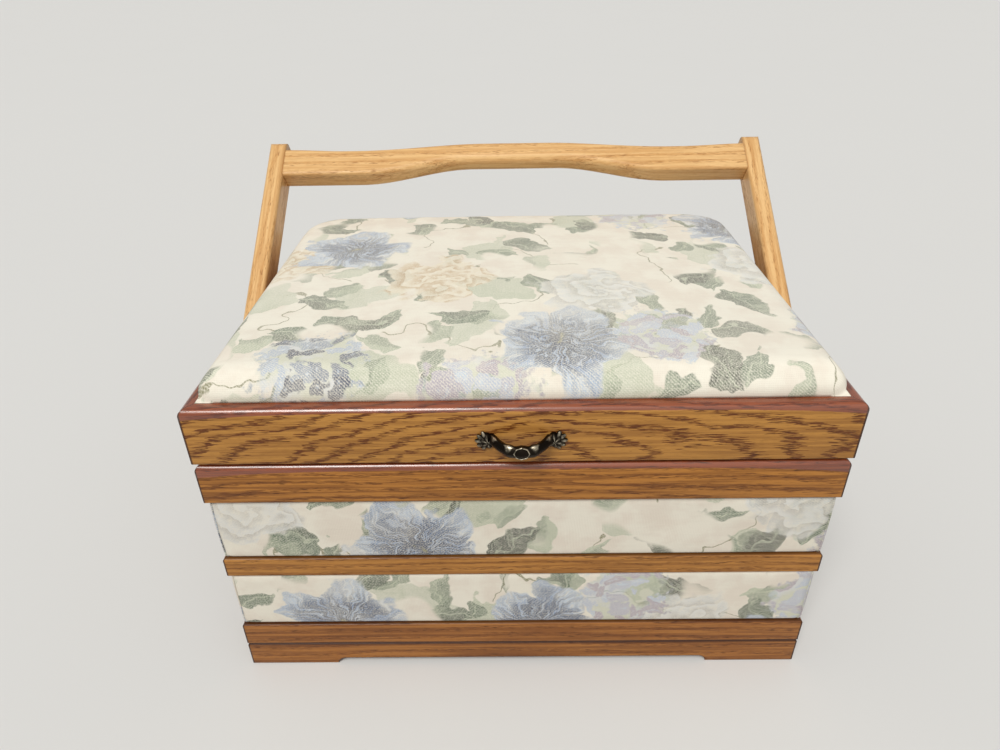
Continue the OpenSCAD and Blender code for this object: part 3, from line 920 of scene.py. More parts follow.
@dataclass(frozen=True)
class MetalFinish:
    """Metal with a worn patina; on the cast pull the pale metal is wear with painted
    highlights.
    """

    name: str
    deep: Colour
    bright: Colour
    roughness: float
    wear: float = 0.6
    raised: bool = False

    def material(self, label: str) -> bpy.types.Material:
        """Make the finish.

        Args:
            label: Name of the piece.

        Returns:
            The material.
        """
        material, desk, shader = new_material(f"{self.name}_{label}")
        place = desk.place()
        patch = place.grain(520, 3)
        if self.raised:
            # Pale metal where the mesh says: wear on raised parts, with painted highlights on
            # their upper and front sides.
            high = desk.read("ShaderNodeAttribute", "Fac", attribute_name="raised")
            worn = high.ramp(0.45, 0.95) * patch.ramp(0.4, 0.6, 0.25, 1)
        else:
            edge = EDGE_FINDER.use(desk, Radius=0.0006, Board=place)["Edge"]
            worn = (edge * self.wear).op("MAXIMUM", patch.ramp(0.45, 0.7, 0.1, 0.7))
        smudge = HAND_MARKS.use(desk, Place=place)["Smudge"]
        desk.fill(shader, Base_Color=worn.mix(self.deep, self.bright), Metallic=1.0,
                  Roughness=smudge * 0.25 + self.roughness, Normal=patch.bump(0.2, 0.2 * MM))
        return material


@dataclass(frozen=True)
class LeatherFinish:
    """Soft dyed leather."""

    name: str
    base: Colour
    rubbed: Colour
    # Colour of the painted shade in the grain's creases.
    crease_shade: Colour = tint(40, 22, 14)

    def material(self, label: str) -> bpy.types.Material:
        """Make the finish.

        Args:
            label: Name of the piece.

        Returns:
            The material.
        """
        material, desk, shader = new_material(f"{self.name}_{label}")
        place = desk.place()
        cells = desk.add("ShaderNodeTexVoronoi", feature="DISTANCE_TO_EDGE")
        desk.fill(cells, Vector=place, Scale=1100)
        pebble = Wire(desk, cells.outputs[0])
        smudge = HAND_MARKS.use(desk, Place=place)["Smudge"]
        # Painted shade: the grain darkens in its creases.
        colour = paint_over(self.base, ((smudge.ramp(0.35, 0.7), self.rubbed),
                                        (pebble.ramp(0, 0.12, 0.5, 0), self.crease_shade)))
        desk.fill(shader, Base_Color=colour, Roughness=smudge * 0.2 + 0.42,
                  Normal=pebble.ramp(0, 0.2).bump(0.5, 0.3 * MM))
        return material


FASCIA_OAK = WoodFinish("fascia_oak", tint(198, 142, 70), tint(104, 52, 10), tint(70, 32, 6),
                        tint(186, 128, 58), lean=0.09, figure=0.95,
                        stain=StainLine(189.6 * MM, 186.2 * MM))
RIM_OAK = WoodFinish("rim_oak", tint(190, 128, 58), tint(98, 48, 10), tint(68, 32, 6),
                     tint(176, 114, 50), figure=0.6, streaks=0.6, heart_height=-0.03,
                     taper=0.06, stain=StainLine(153.7 * MM, 149.6 * MM))
TRAY_OAK = WoodFinish("tray_oak", tint(184, 126, 68), tint(124, 72, 32), tint(84, 44, 20),
                      tint(168, 108, 54), figure=0.6, heart_height=-0.03, taper=0.06)
STRIP_OAK = WoodFinish("strip_oak", tint(192, 134, 66), tint(104, 54, 14), tint(66, 30, 6),
                       tint(170, 114, 52), figure=0.4, streaks=0.45, heart_height=-0.04,
                       taper=0.04)
BASE_OAK = WoodFinish("base_oak", tint(176, 116, 56), tint(98, 48, 14), tint(56, 24, 6),
                      tint(158, 98, 44), figure=0.45, streaks=0.6, heart_height=-0.04,
                      taper=0.05, ring_gap=0.006)
HANDLE_OAK = WoodFinish("handle_oak", tint(232, 190, 132), tint(188, 128, 64),
                        tint(150, 96, 46), tint(216, 168, 106), figure=0.35, streaks=0.45,
                        ring_gap=0.007, heart_height=-0.05, heart_depth=0.06, taper=0.05,
                        roughness=0.34, radius=0.0022, edge_share=0.12)
PLYWOOD = WoodFinish("plywood", tint(206, 178, 132), tint(176, 142, 96), tint(140, 106, 66),
                     tint(194, 164, 118), figure=0.35, ring_gap=0.011, roughness=0.6,
                     coat=0.0)
FLORAL_CLOTH = ClothFinish("floral_cloth", FloralPrint.ivory, printed=True)
# The pad's fade is painted glare: its print is washed out as if by the sheen on its top.
FLORAL_PAD = ClothFinish("floral_pad", FloralPrint.ivory, printed=True, fade=0.1)
LINING_CLOTH = ClothFinish("lining_cloth", tint(196, 186, 164), thread=0.0009)
BRASS = MetalFinish("brass", tint(150, 112, 52), tint(214, 178, 104), 0.3)
CAST_BRONZE = MetalFinish("cast_bronze", tint(34, 29, 24), tint(196, 186, 164), 0.28,
                          raised=True)
TAB_LEATHER = LeatherFinish("tab_leather", tint(122, 70, 42), tint(146, 92, 58))


def wall_metres(desk: NodeDesk) -> Wire:
    """Flat metres of an upright cloth, along and up."""
    x, y, z = desk.place().split()
    return desk.join(x + y, z)


def floor_metres(desk: NodeDesk) -> Wire:
    """Flat metres of a level cloth."""
    x, y, _ = desk.place().split()
    return desk.join(x, y)


def cut_metres(desk: NodeDesk) -> Wire:
    """Flat metres that the piece's own mesh carries."""
    return desk.read("ShaderNodeAttribute", "Vector", attribute_name="flat")


# Meshes


def dress(node: str, material: bpy.types.Material) -> None:
    """Give a CAD node its material.

    Args:
        node: Name of the node.
        material: The material.
    """
    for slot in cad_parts[node].material_slots:
        slot.material = material
    LOG.info("dressed %s in %s", node, material.name)


def dress_board(node: str, finish: WoodFinish, grain: Grain = Grain.WIDTH,
                seed: float = 0) -> None:
    """Give a wooden CAD node its finish, read from its own corner."""
    dress(node, finish.material(node, grain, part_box(node)[0], seed))


def dress_brass(*nodes: str) -> None:
    """Give small fittings their brass."""
    for node in nodes:
        dress(node, BRASS.material(node))


def stitch(mesh: bmesh.types.BMesh, rows: Sequence[Sequence[bmesh.types.BMVert]],
           closed: bool = False, flip: bool = False) -> None:
    """Join rows of points with four-sided faces.

    Args:
        mesh: The mesh.
        rows: Rows of equal length.
        closed: Whether each row is a ring.
        flip: Turns the faces round.
    """
    count = len(rows[0])
    for a, b in zip(rows, rows[1:]):
        for j in range(count if closed else count - 1):
            k = (j + 1) % count
            mesh.faces.new((a[j], b[j], b[k], a[k]) if flip else (a[j], a[k], b[k], b[j]))


def skin(mesh: bmesh.types.BMesh, rings: Sequence[Sequence[bmesh.types.BMVert]],
         flip: bool = False) -> None:
    """Close a row of rings into a solid.

    Args:
        mesh: The mesh.
        rings: Rings of equal length.
        flip: Turns the faces round.
    """
    stitch(mesh, rings, True, flip)
    mesh.faces.new(rings[0][::1 if flip else -1])
    mesh.faces.new(rings[-1][::-1 if flip else 1])


def mesh_piece(name: str, mesh: bmesh.types.BMesh, material: bpy.types.Material,
               sharp: float = 180, **carried: Sequence[float]) -> bpy.types.Object:
    """Turn a bmesh into a piece of the scene.

    Args:
        name: Name of the piece.
        mesh: The bmesh, which is freed.
        material: Its material.
        sharp: Angle in degrees from which an edge stays sharp.
        **carried: Values that the points carry, one or three each, in a row.

    Returns:
        The object.
    """
    data = bpy.data.meshes.new(name)
    mesh.normal_update()
    mesh.to_mesh(data)
    mesh.free()
    data.materials.append(material)
    data.polygons.foreach_set("use_smooth", [True] * len(data.polygons))
    data.set_sharp_from_angle(angle=math.radians(sharp))
    for layer, values in carried.items():
        single = len(values) == len(data.vertices)
        kind, part = ("FLOAT", "value") if single else ("FLOAT_VECTOR", "vector")
        data.attributes.new(layer, kind, "POINT").data.foreach_set(part, values)
    piece = bpy.data.objects.new(name, data)
    bpy.context.scene.collection.objects.link(piece)
    LOG.info("built %s with %d faces", name, len(data.polygons))
    return piece


def quarter(steps: int) -> list[float]:
    """Angles of a quarter turn, in radians."""
    return [math.radians(90 * k / steps) for k in range(steps + 1)]


def held(value: float) -> float:
    """A value kept from 0 to 1."""
    return min(max(value, 0.0), 1.0)


# Box, rim and bands


@dataclass
class RailSet:
    """Four mitred rails of one level, finished alike."""

    prefix: str
    finish: WoodFinish
    seed: float
    grooves: tuple[float, ...] = ()

    def material(self, index: int) -> bpy.types.Material:
        """Make one rail's finish, with the grain along it.

        Args:
            index: Place of its side in SIDES.

        Returns:
            The material.
        """
        name = f"{self.prefix}_{SIDES[index]}"
        low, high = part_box(name)
        return self.finish.material(name, SIDE_GRAINS[index], low, self.seed + index * 1.7,
                                    self.grooves, (high - low)[index % 2])

    def dress(self) -> None:
        """Finish the four rails."""
        for index, side in enumerate(SIDES):
            dress(f"{self.prefix}_{side}", self.material(index))


@dataclass
class EdgedRails:
    """Four mitred rails cut in one with their rounded and stained upper edge."""

    rail: RailSet
    trim: str
    body: str
    half_width: float = 169.75 * MM
    half_depth: float = 131.75 * MM
    crest: float = 3.7 * MM
    ease: float = 0.8 * MM
    step_in: float = 0.0
    gap: float = 0.05 * MM
    rub: float = 0.12 * MM
    steps: int = 48

    def profile(self, low: float, high: float, thick: float,
                shelf: float) -> list[tuple[float, float]]:
        """Outline of the rail as depth and height, from its inner foot.

        Args:
            low: Height of the foot.
            high: Height of the top.
            thick: Thickness of the rail.
            shelf: Height of the step behind the trim.

        Returns:
            The outline's points.
        """
        foot = [(self.ease * (1 - math.sin(a)), low + self.ease * (1 - math.cos(a)))
                for a in quarter(4)]
        top = [(self.crest * (1 - math.cos(a)), high - self.crest * (1 - math.sin(a)))
               for a in quarter(8)]
        outline = [(thick, low), *foot, *top]
        if self.step_in:
            return [*outline, (self.step_in, high), (self.step_in, shelf), (thick, shelf)]
        return [*outline, (thick, high)]

    def build(self) -> None:
        """Dress both CAD levels, then sweep each rail and mitre its ends."""
        self.rail.dress()
        RailSet(self.trim, self.rail.finish, self.rail.seed).dress()
        prefix = self.rail.prefix
        centre = (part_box(f"{prefix}_front")[0].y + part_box(f"{prefix}_back")[1].y) / 2
        for index, side in enumerate(SIDES):
            rail, trim = f"{prefix}_{side}", f"{self.trim}_{side}"
            low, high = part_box(rail)
            wide, deep = self.half_width, self.half_depth
            if index % 2:
                wide, deep = deep, wide
            thick = (high - low)[1 - index % 2] - self.gap
            outline = self.profile(low.z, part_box(trim)[1].z, thick, high.z)
            turn = Matrix.Rotation(math.radians(90 * index), 3, "Z")
            mesh = bmesh.new()
            rings = []
            for k in range(self.steps + 1):
                ring = []
                for depth, height in outline:
                    along = (2 * k / self.steps - 1) * (wide - depth)
                    rub = self.rub * noise.noise(Vector((along * 38, height * 90, index + 5)))
                    spot = turn @ Vector((along, -(deep - depth - rub), 0))
                    ring.append(mesh.verts.new((spot.x, spot.y + centre, height)))
                rings.append(ring)
            skin(mesh, rings, flip=True)
            bmesh.ops.recalc_face_normals(mesh, faces=mesh.faces)
            piece = mesh_piece(f"{prefix}_edged_{side}", mesh, self.rail.material(index),
                               sharp=40)
            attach(piece, self.body)
            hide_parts(rail, trim)


@dataclass
class Carcass:
    """The fixed box: base, boards, strip, rim and what is inside."""

    groove_height: float = 18.5 * MM
    base_ledge: float = 36.4 * MM
    strip_ledge: float = 91.4 * MM

    def dress(self) -> None:
        """Finish the rails, boards, bottom and linings."""
        RailSet("base", BASE_OAK, 0.4, (self.groove_height, self.base_ledge)).dress()
        RailSet("strip", STRIP_OAK, 2.1, (self.strip_ledge,)).dress()
        EdgedRails(RailSet("rim", RIM_OAK, 3.3), "rim_trim", "box", 169.5 * MM, 131.5 * MM,
                   crest=3.4 * MM).build()
        RailSet("lower_board", PLYWOOD, 5.2).dress()
        RailSet("upper_board", PLYWOOD, 6.1).dress()
        dress_board("bottom_panel", PLYWOOD)
        dress_board("handle_spacers", BASE_OAK, Grain.DEPTH)
        dress("side_lining", LINING_CLOTH.material("side_lining", wall_metres))
        dress_brass("hinge_leaves_box", "hinge_pins", "hinge_screws_box", "handle_bolts",
                    "tray_pins")


@dataclass
class ClothBand:
    """Printed cloth stretched over the four boards of one level."""

    level: str
    start: float
    inset: float = 1.25 * MM
    turn: float = 2.4 * MM
    tuck: float = 11.9 * MM
    shelf: float = 7 * MM
    puff: float = 0.24 * MM
    fold: float = 0.34 * MM
    thick: float = 0.6 * MM
    gap: float = 0.05 * MM
    edge_gap: float = 0.06 * MM
    corner_pull: float = 0.5 * MM
    corner_reach: float = 1.6 * MM
    cell: float = 2 * MM
    flat_ends: int = 8
    half_width: float = 169 * MM
    half_depth: float = 131 * MM

    def section(self, low: float, high: float) -> list[tuple[float, float]]:
        """The cloth's path over a board, as depth behind the rails and height.

        Args:
            low: Height of the lower edge.
            high: Height of the upper edge.

        Returns:
            The points, from the lower tuck to the upper one.
        """
        bottom = [(self.inset + self.turn * (1 - math.sin(a)),
                   low + self.turn * (1 - math.cos(a))) for a in quarter(5)]
        top = [(self.inset + self.turn * (1 - math.cos(a)),
                high - self.turn * (1 - math.sin(a))) for a in quarter(5)]
        rise, span = bottom[-1][1], top[0][1] - bottom[-1][1]
        face = [(self.inset - self.puff * math.sin(math.pi * k / 22) ** 0.5,
                 rise + span * k / 22) for k in range(1, 22)]
        return [(self.tuck, low), (self.shelf, low), *bottom, *face, *top,
                (self.shelf, high), (self.tuck, high)]

    def build(self) -> None:
        """Make one sheet for each side."""
        node = f"{self.level}_fabric"
        low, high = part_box(node)
        centre = (low + high) / 2
        path = self.section(low.z + self.edge_gap, high.z - self.edge_gap)
        run = [0.0]
        for (d0, z0), (d1, z1) in zip(path, path[1:]):
            run.append(run[-1] + math.hypot(d1 - d0, z1 - z0))
        sheets = []
        start = self.start
        for index, side in enumerate(SIDES):
            wide, deep = self.half_width, self.half_depth
            if index % 2:
                wide, deep = deep, wide
            turn = Matrix.Rotation(math.radians(90 * index), 3, "Z")
            steps = int(wide / self.cell)
            mesh = bmesh.new()
            flat: list[float] = []
            grid = []
            for i in range(steps + 1):
                row = []
                for k, (depth, height) in enumerate(path):
                    reach = wide - depth - self.gap
                    along = (2 * i / steps - 1) * reach
                    easing = max(0.0, 1 - (reach - abs(along)) / self.corner_reach)
                    wave = noise.noise(Vector((along * 60 + index * 9, height * 45, 3.1)))
                    free = self.flat_ends <= k < len(path) - self.flat_ends
                    inward = (depth + self.corner_pull * easing ** 2
                              + (self.fold * wave if free else 0.0))
                    point = turn @ Vector((along, -(deep - inward), 0))
                    row.append(mesh.verts.new((point.x, point.y + centre.y, height)))
                    flat += [start + along + wide, run[k] + self.start * 0.37, 0]
                grid.append(row)
            stitch(mesh, grid, flip=True)
            start += 2 * wide
            piece = mesh_piece(f"{self.level}_cloth_{side}", mesh, FLORAL_CLOTH.material(
                f"{self.level}_{side}", cut_metres), flat=flat)
            shell = piece.modifiers.new("thickness", "SOLIDIFY")
            shell.thickness = self.thick
            shell.offset = -1
            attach(piece, "box")
            2 * wide - 2 * self.inset
            sheets.append(piece)
        for piece in sheets:
            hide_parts(node)


# Outer lid


@dataclass
class PadCover:
    """The plump floral panel of the outer lid."""

    across: int = 150
    along: int = 120
    roll_wide: float = 12.5 * MM
    roll_high: float = 15.4 * MM
    corner_front: float = 8 * MM
    corner_back: float = 34 * MM
    dome: float = 3.4 * MM
    lip: float = 2.1 * MM
    lip_rise: float = 7 * MM
    lip_wide: float = 5 * MM
    neck: float = 1.9 * MM
    rest: float = 2.4 * MM
    bulge: float = 1.8 * MM
    bulge_high: float = 13 * MM
    bulge_wide: float = 6 * MM
    swell: float = 0.6 * MM
    pucker: float = 0.4 * MM
    pucker_inside: float = 9 * MM
    pucker_wide: float = 12 * MM
    roundness: float = 2.3

    def roll(self, inside: float) -> float:
        """Height share of the roll at a distance inside the edge."""
        return math.sqrt(1 - (1 - held(inside / self.roll_wide)) ** 2)

    def inside(self, x: float, y: float, half: Vector) -> float:
        """Distance inside the edge, with the corners drawn in.

        Args:
            x: Place across, from the middle.
            y: Place in depth, from the middle.
            half: Half sizes of the footprint.

        Returns:
            The distance in metres.
        """
        dx, dy = half.x - abs(x), half.y - abs(y)
        corner = self.corner_front if y < 0 else self.corner_back
        if dx >= corner or dy >= corner:
            return min(dx, dy)
        power = self.roundness
        return corner - ((corner - dx) ** power + (corner - dy) ** power) ** (1 / power)

    def height(self, x: float, y: float, half: Vector) -> float:
        """Height of the cover over its board.

        Args:
            x: Place across, from the middle.
            y: Place in depth, from the middle.
            half: Half sizes of the footprint.

        Returns:
            The height in metres.
        """
        rolled = self.roll(self.inside(x, y, half))
        crown = (1 - (x / half.x) ** 2) * (1 - (y / half.y) ** 2)
        near = min(half.x - abs(x), half.y - abs(y))
        drawn = self.lip_rise * min(near / self.lip_wide, 1) * (1 - rolled)
        fade = max(0.0, 1 - abs(near - self.pucker_inside) / self.pucker_wide)
        wave = noise.noise(Vector((x * 85, y * 85, 1.7))) * self.pucker * fade
        broad = noise.noise(Vector((x * 14, y * 14, 8.2))) * self.swell * rolled
        return self.lip + self.roll_high * rolled + self.dome * crown + drawn + wave + broad

    def spread(self, place: float, height: float, limit: float) -> float:
        """Let the roll swell out over the trim.

        Args:
            place: Place across or in depth, from the middle.
            height: Height over the board.
            limit: Half size of the footprint that way.

        Returns:
            The moved place.
        """
        share = held((height - self.lip) / self.bulge_high)
        out = self.rest * (1 - share) ** 1.2 + self.bulge * math.sin(math.pi * share)
        near = max(0.0, 1 - (limit - abs(place)) / self.bulge_wide)
        return place + math.copysign(out * near, place)

    def unrolled(self, places: list[float], limit: float) -> list[float]:
        """Length along the cloth up to each place, so that the print lies unstretched.

        Args:
            places: Places across or in depth.
            limit: Half size of the footprint that way.

        Returns:
            The lengths.
        """
        lengths = [0.0]
        for a, b in zip(places, places[1:]):
            rise = self.roll_high * (self.roll(limit - abs(b)) - self.roll(limit - abs(a)))
            lengths.append(lengths[-1] + math.hypot(b - a, rise))
        return lengths

    def build(self) -> None:
        """Make the crowned cover, tucked in at its foot."""
        low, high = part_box("lid_pad")
        centre, half = (low + high) / 2, (high - low) / 2
        mesh = bmesh.new()
        xs = [-math.cos(math.pi * i / self.across) * half.x for i in range(self.across + 1)]
        ys = [-math.cos(math.pi * j / self.along) * half.y for j in range(self.along + 1)]
        grid = []
        for y in ys:
            row = []
            for x in xs:
                height = self.height(x, y, half)
                row.append(mesh.verts.new((centre.x + self.spread(x, height, half.x),
                                           centre.y + self.spread(y, height, half.y),
                                           low.z + height)))
            grid.append(row)
        flat = [c for v in self.unrolled(ys, half.y) for u in self.unrolled(xs, half.x)
                for c in (u + 1.37, v + 0.52, 0.0)]
        stitch(mesh, grid)
        rim = (grid[0] + [row[-1] for row in grid[1:]] + grid[-1][-2::-1]
               + [row[0] for row in grid[-2:0:-1]])
        order = {v: k for k, v in enumerate(v for row in grid for v in row)}
        edge = [(min(max(v.co.x, low.x), high.x), min(max(v.co.y, low.y), high.y)) for v in rim]
        neck = [mesh.verts.new((x, y, low.z + self.neck)) for x, y in edge]
        foot = [mesh.verts.new((x, y, low.z)) for x, y in edge]
        middle = mesh.verts.new((centre.x, centre.y, low.z))
        flat += 2 * [c for v in rim for c in flat[3 * order[v]:3 * order[v] + 3]] + [0.0] * 3
        stitch(mesh, (foot, neck, rim), closed=True)
        for a, b in zip(foot, foot[1:] + foot[:1]):
            mesh.faces.new((middle, b, a))
        piece = mesh_piece("pad_cover", mesh, FLORAL_PAD.material("pad", cut_metres), flat=flat)
        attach(piece, "outer_lid")
        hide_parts("lid_pad")


@dataclass
class CastPull:
    """The cast pull: two petalled ends, a bow and a rosette in its middle."""

    centres: float = 33.4 * MM
    reach: float = 11 * MM
    height: float = 173 * MM
    drop: float = 1.2 * MM
    lift: float = 1.2 * MM
    stub: float = 1.6 * MM
    bow_inset: float = 2.2 * MM
    bow_radius: float = 2.6 * MM
    bow_curve: float = 2.6
    flower_radius: float = 4.7 * MM
    flower_thick: float = 3.6 * MM
    petals: int = 6
    petal_turn: float = 0.3
    medal_radius: float = 4.2 * MM
    lobe_root: float = 2.6 * MM
    lobe_reach: float = 6.7 * MM
    lobe_radius: float = 1.35 * MM
    mesh: bmesh.types.BMesh = field(default_factory=bmesh.new)
    raised: list[float] = field(default_factory=list)

    def build(self) -> None:
        """Model the bow, the ends and the rosettes in one casting."""
        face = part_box("pull")[1].y
        self.bow(face)
        for end in (-1, 1):
            spot = Vector((end * self.centres / 2, face, self.height))
            self.rosette(spot)
            self.fan(spot, end)
        self.medal(Vector((0, face - self.reach + 0.3 * MM, self.height + 0.2 * MM)))
        piece = mesh_piece("cast_pull", self.mesh, CAST_BRONZE.material("pull"),
                           raised=self.raised)
        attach(piece, "outer_lid")
        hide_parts("pull")

    def cast(self, rings: int, sides: int,
             point: Callable[[float, float], tuple[Vector, float]]) -> None:
        """Add a closed form made of rings.

        Args:
            rings: Number of rings.
            sides: Points in each ring.
            point: Gives a point, and its share of wear and painted highlight from 0 to 1,
            at a share of the rings and an angle.
        """
        rows = []
        for k in range(rings):
            made = [point(k / (rings - 1), TAU * j / sides) for j in range(sides)]
            rows.append([self.mesh.verts.new(spot) for spot, _ in made])
            self.raised += [min(1.0, worn) for _, worn in made]
        skin(self.mesh, rows)

    def bow(self, face: float) -> None:
        """Sweep the bow from end to end.

        Args:
            face: The fascia's front in metres.
        """
        span, out = self.centres / 2 - self.bow_inset, self.reach - self.stub

        def point(share: float, angle: float) -> tuple[Vector, float]:
            """One point of the bow.

            Args:
                share: Share of the bow's length.
                angle: Angle around it.

            Returns:
                The point, and its share of wear and painted highlight.
            """
            t = 2 * share - 1
            centre = Vector((t * span, face - self.stub - out * (1 - abs(t) ** self.bow_curve),
                             self.height + self.lift - self.drop * (1 - t * t)))
            slope = math.copysign(self.bow_curve * out * abs(t) ** (self.bow_curve - 1), t)
            along = Vector((span, slope, 0)).normalized()
            swell = 1 + 0.3 * math.exp(-(t / 0.2) ** 2) + 0.2 * math.exp(
                -((abs(t) - 0.42) / 0.12) ** 2)
            ridge = 1 + 0.07 * math.cos(5 * angle)
            radius = self.bow_radius * swell * ridge
            sideways = -radius * 0.85 * math.cos(angle)
            offset = Vector((-along.y * sideways, along.x * sideways,
                             radius * 1.1 * math.sin(angle)))
            shoulder = math.exp(-((abs(t) - 0.42) / 0.13) ** 2)
            root = math.exp(-((abs(t) - 0.9) / 0.1) ** 2)
            upper = max(0.0, math.sin(angle + 0.5)) ** 1.5
            # Pale metal kept to the bow's upper side: wear with painted highlight where the
            # light falls.
            return centre + offset, (shoulder + 0.8 * root + 0.4 * (ridge > 1.05)) * upper

        self.cast(65, 20, point)

    def rosette(self, spot: Vector) -> None:
        """Model a flower seen from the front.

        Args:
            spot: Middle of its back.
        """
        def point(level: float, angle: float) -> tuple[Vector, float]:
            """One point of the flower.

            Args:
                level: 0 at its foot, 1 at its middle.
                angle: Angle around it.

            Returns:
                The point, and its share of wear and painted highlight.
            """
            share = 1 - level
            lobe = abs(math.cos(self.petals * (angle + self.petal_turn) / 2)) ** 0.6
            reach = self.flower_radius * (0.78 + 0.22 * lobe) * max(share, 0.03)
            body = math.sqrt(max(0.0, 1 - share ** 3))
            petal = (0.35 + 0.65 * lobe) * math.sin(math.pi * share) ** 0.8
            boss = math.exp(-(share / 0.24) ** 2)
            height = self.flower_thick * (0.25 + 0.32 * body + 0.34 * petal + 0.42 * boss)
            height *= level > 0
            return (spot + Vector((reach * math.cos(angle), -height, reach * math.sin(angle))),
                    0.75 * petal * lobe + 0.5 * boss)

        self.cast(11, self.petals * 8, point)

    def medal(self, spot: Vector) -> None:
        """Model the eight-sided ring in the middle, with ribs in its recess.

        Args:
            spot: Middle of its back.
        """
        # Third column: share of wear and painted highlight.
        section = ((0.86, 0.0, 0.0), (1.0, 1.0, 0.1), (1.0, 2.3, 0.7), (0.94, 2.8, 1.0),
                   (0.86, 2.7, 1.0), (0.8, 1.9, 0.1), (0.55, 1.7, 0.2), (0.3, 1.9, 0.3),
                   (0.08, 2.1, 0.5))

        def point(level: float, angle: float) -> tuple[Vector, float]:
            """One point of the ring.

            Args:
                level: Share of the section.
                angle: Angle around it.

            Returns:
                The point, and its share of wear and painted highlight.
            """
            share, height, worn = section[round(level * (len(section) - 1))]
            flat = math.cos(math.pi / 8) / math.cos((angle % (TAU / 8)) - math.pi / 8)
            rib = max(0.0, math.cos(8 * angle)) * (0.2 < share < 0.6)
            reach = self.medal_radius * share * flat
            return (spot + Vector((reach * math.cos(angle), -(height + 0.55 * rib) * MM,
                                   0.9 * reach * math.sin(angle) + 0.12 * height * MM)),
                    worn + 0.4 * rib)

        self.cast(len(section), 64, point)

    def fan(self, spot: Vector, end: int) -> None:
        """Spread five lobes outwards from an end.

        Args:
            spot: Middle of the end's back.
            end: -1 for the left end, 1 for the right one.
        """
        root = self.lobe_root
        for lobe in range(5):
            lean = math.radians(-62 + 31 * lobe)
            along = Vector((end * math.cos(lean), 0, math.sin(lean)))
            side = Vector((-along.z, 0, along.x))
            length = self.lobe_reach - 0.25 * MM * abs(lobe - 2)

            def point(t: float, angle: float) -> tuple[Vector, float]:
                """One point of the lobe.

                Args:
                    t: Share of the lobe's length.
                    angle: Angle around it.

                Returns:
                    The point, and its share of wear and painted highlight.
                """
                width = self.lobe_radius * math.sqrt(max(0.03, 1 - (2 * t - 0.75) ** 2 * 0.62))
                lift = 0.9 * MM + 0.65 * MM * (1 - t) + math.sin(angle) * width * 0.8
                return (spot + along * (root + (length - root) * t)
                        + side * (width * math.cos(angle))
                        + Vector((0, -max(lift, 0.05 * MM), 0)),
                        max(0.0, math.sin(angle)) * (0.5 + 0.5 * t))

            self.cast(9, 12, point)


@dataclass
class OuterLid:
    """The padded lid with its trim, lining and hinges."""

    def dress(self) -> None:
        """Finish the rails and fittings, then add the pad and the pull."""
        EdgedRails(RailSet("lid_rail", FASCIA_OAK, 7.7), "lid_trim", "outer_lid",
                   step_in=9 * MM).build()
        dress_board("lid_board", PLYWOOD)
        dress("lid_lining", LINING_CLOTH.material("lid_lining", floor_metres))
        dress_brass("pull_screws", "hinge_leaves_lid", "hinge_screws_lid")
        PadCover().build()
        CastPull().build()


# Handle and inner lid


@dataclass
class Handle:
    """The wooden carrying handle."""

    def dress(self) -> None:
        """Run the grain along the arms and the crossbar."""
        for name, grain, seed in (("arm_left", Grain.ARM, 1.0), ("arm_right", Grain.ARM, 2.4),
                                  ("crossbar", Grain.CROSSBAR, 3.1)):
            dress(f"handle_{name}", HANDLE_OAK.material(name, grain, HANDLE_PIVOT, seed))
        dress("handle_dowels", PLYWOOD.material("dowels", Grain.WIDTH, HANDLE_PIVOT))


@dataclass
class TabLoop:
    """The folded leather tab that lifts the inner lid."""

    rows: int = 30
    columns: int = 14
    narrowest: float = 0.4 * MM
    rolled: float = 0.2
    seam: float = 0.72
    seam_half: float = 0.08
    stitches: int = 22
    stitch_deep: float = 0.18 * MM

    def build(self) -> None:
        """Model a tab with a rounded end, a raised edge and two rows of stitches."""
        low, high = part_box("tray_tab")
        centre, half = (low + high) / 2, (high - low) / 2
        mesh = bmesh.new()
        front, back = [], []
        for i in range(self.rows + 1):
            t = i / self.rows
            z = low.z + (high.z - low.z) * t
            room = held((high.z - z) / half.x)
            wide = max(half.x * math.sqrt(1 - (1 - room) ** 2), self.narrowest)
            front.append([])
            back.append([])
            for j in range(self.columns + 1):
                s = 2 * j / self.columns - 1
                edge = min(1 - abs(s), self.rolled) / self.rolled
                on_seam = abs(abs(s) - self.seam) < self.seam_half
                stitched = on_seam and int(t * self.stitches) % 2 == 0
                swell = half.y * (0.55 + 0.45 * edge ** 0.5) - stitched * self.stitch_deep
                x = centre.x + s * wide
                front[-1].append(mesh.verts.new((x, centre.y - swell, z)))
                back[-1].append(mesh.verts.new((x, centre.y + swell, z)))
        stitch(mesh, front)
        stitch(mesh, back, flip=True)
        for end, flip in ((0, True), (-1, False)):
            stitch(mesh, (front[end], back[end]), flip=flip)
            stitch(mesh, [[row[end] for row in face] for face in (front, back)],
                   flip=not flip)
        piece = mesh_piece("leather_tab", mesh, TAB_LEATHER.material("tab"))
        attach(piece, "inner_lid")
        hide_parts("tray_tab")


@dataclass
class InnerLid:
    """The shallow divided tray that closes the box under the outer lid."""

    def dress(self) -> None:
        """Finish the walls, floor and dividers, then add the tab."""
        for index, side in enumerate(SIDES):
            dress_board(f"tray_{side}", TRAY_OAK, SIDE_GRAINS[index], 9 + index)
        dress_board("tray_dividers", TRAY_OAK, Grain.DEPTH, 14)
        dress("tray_floor", LINING_CLOTH.material("tray_floor", floor_metres))
        TabLoop().build()


# Studio


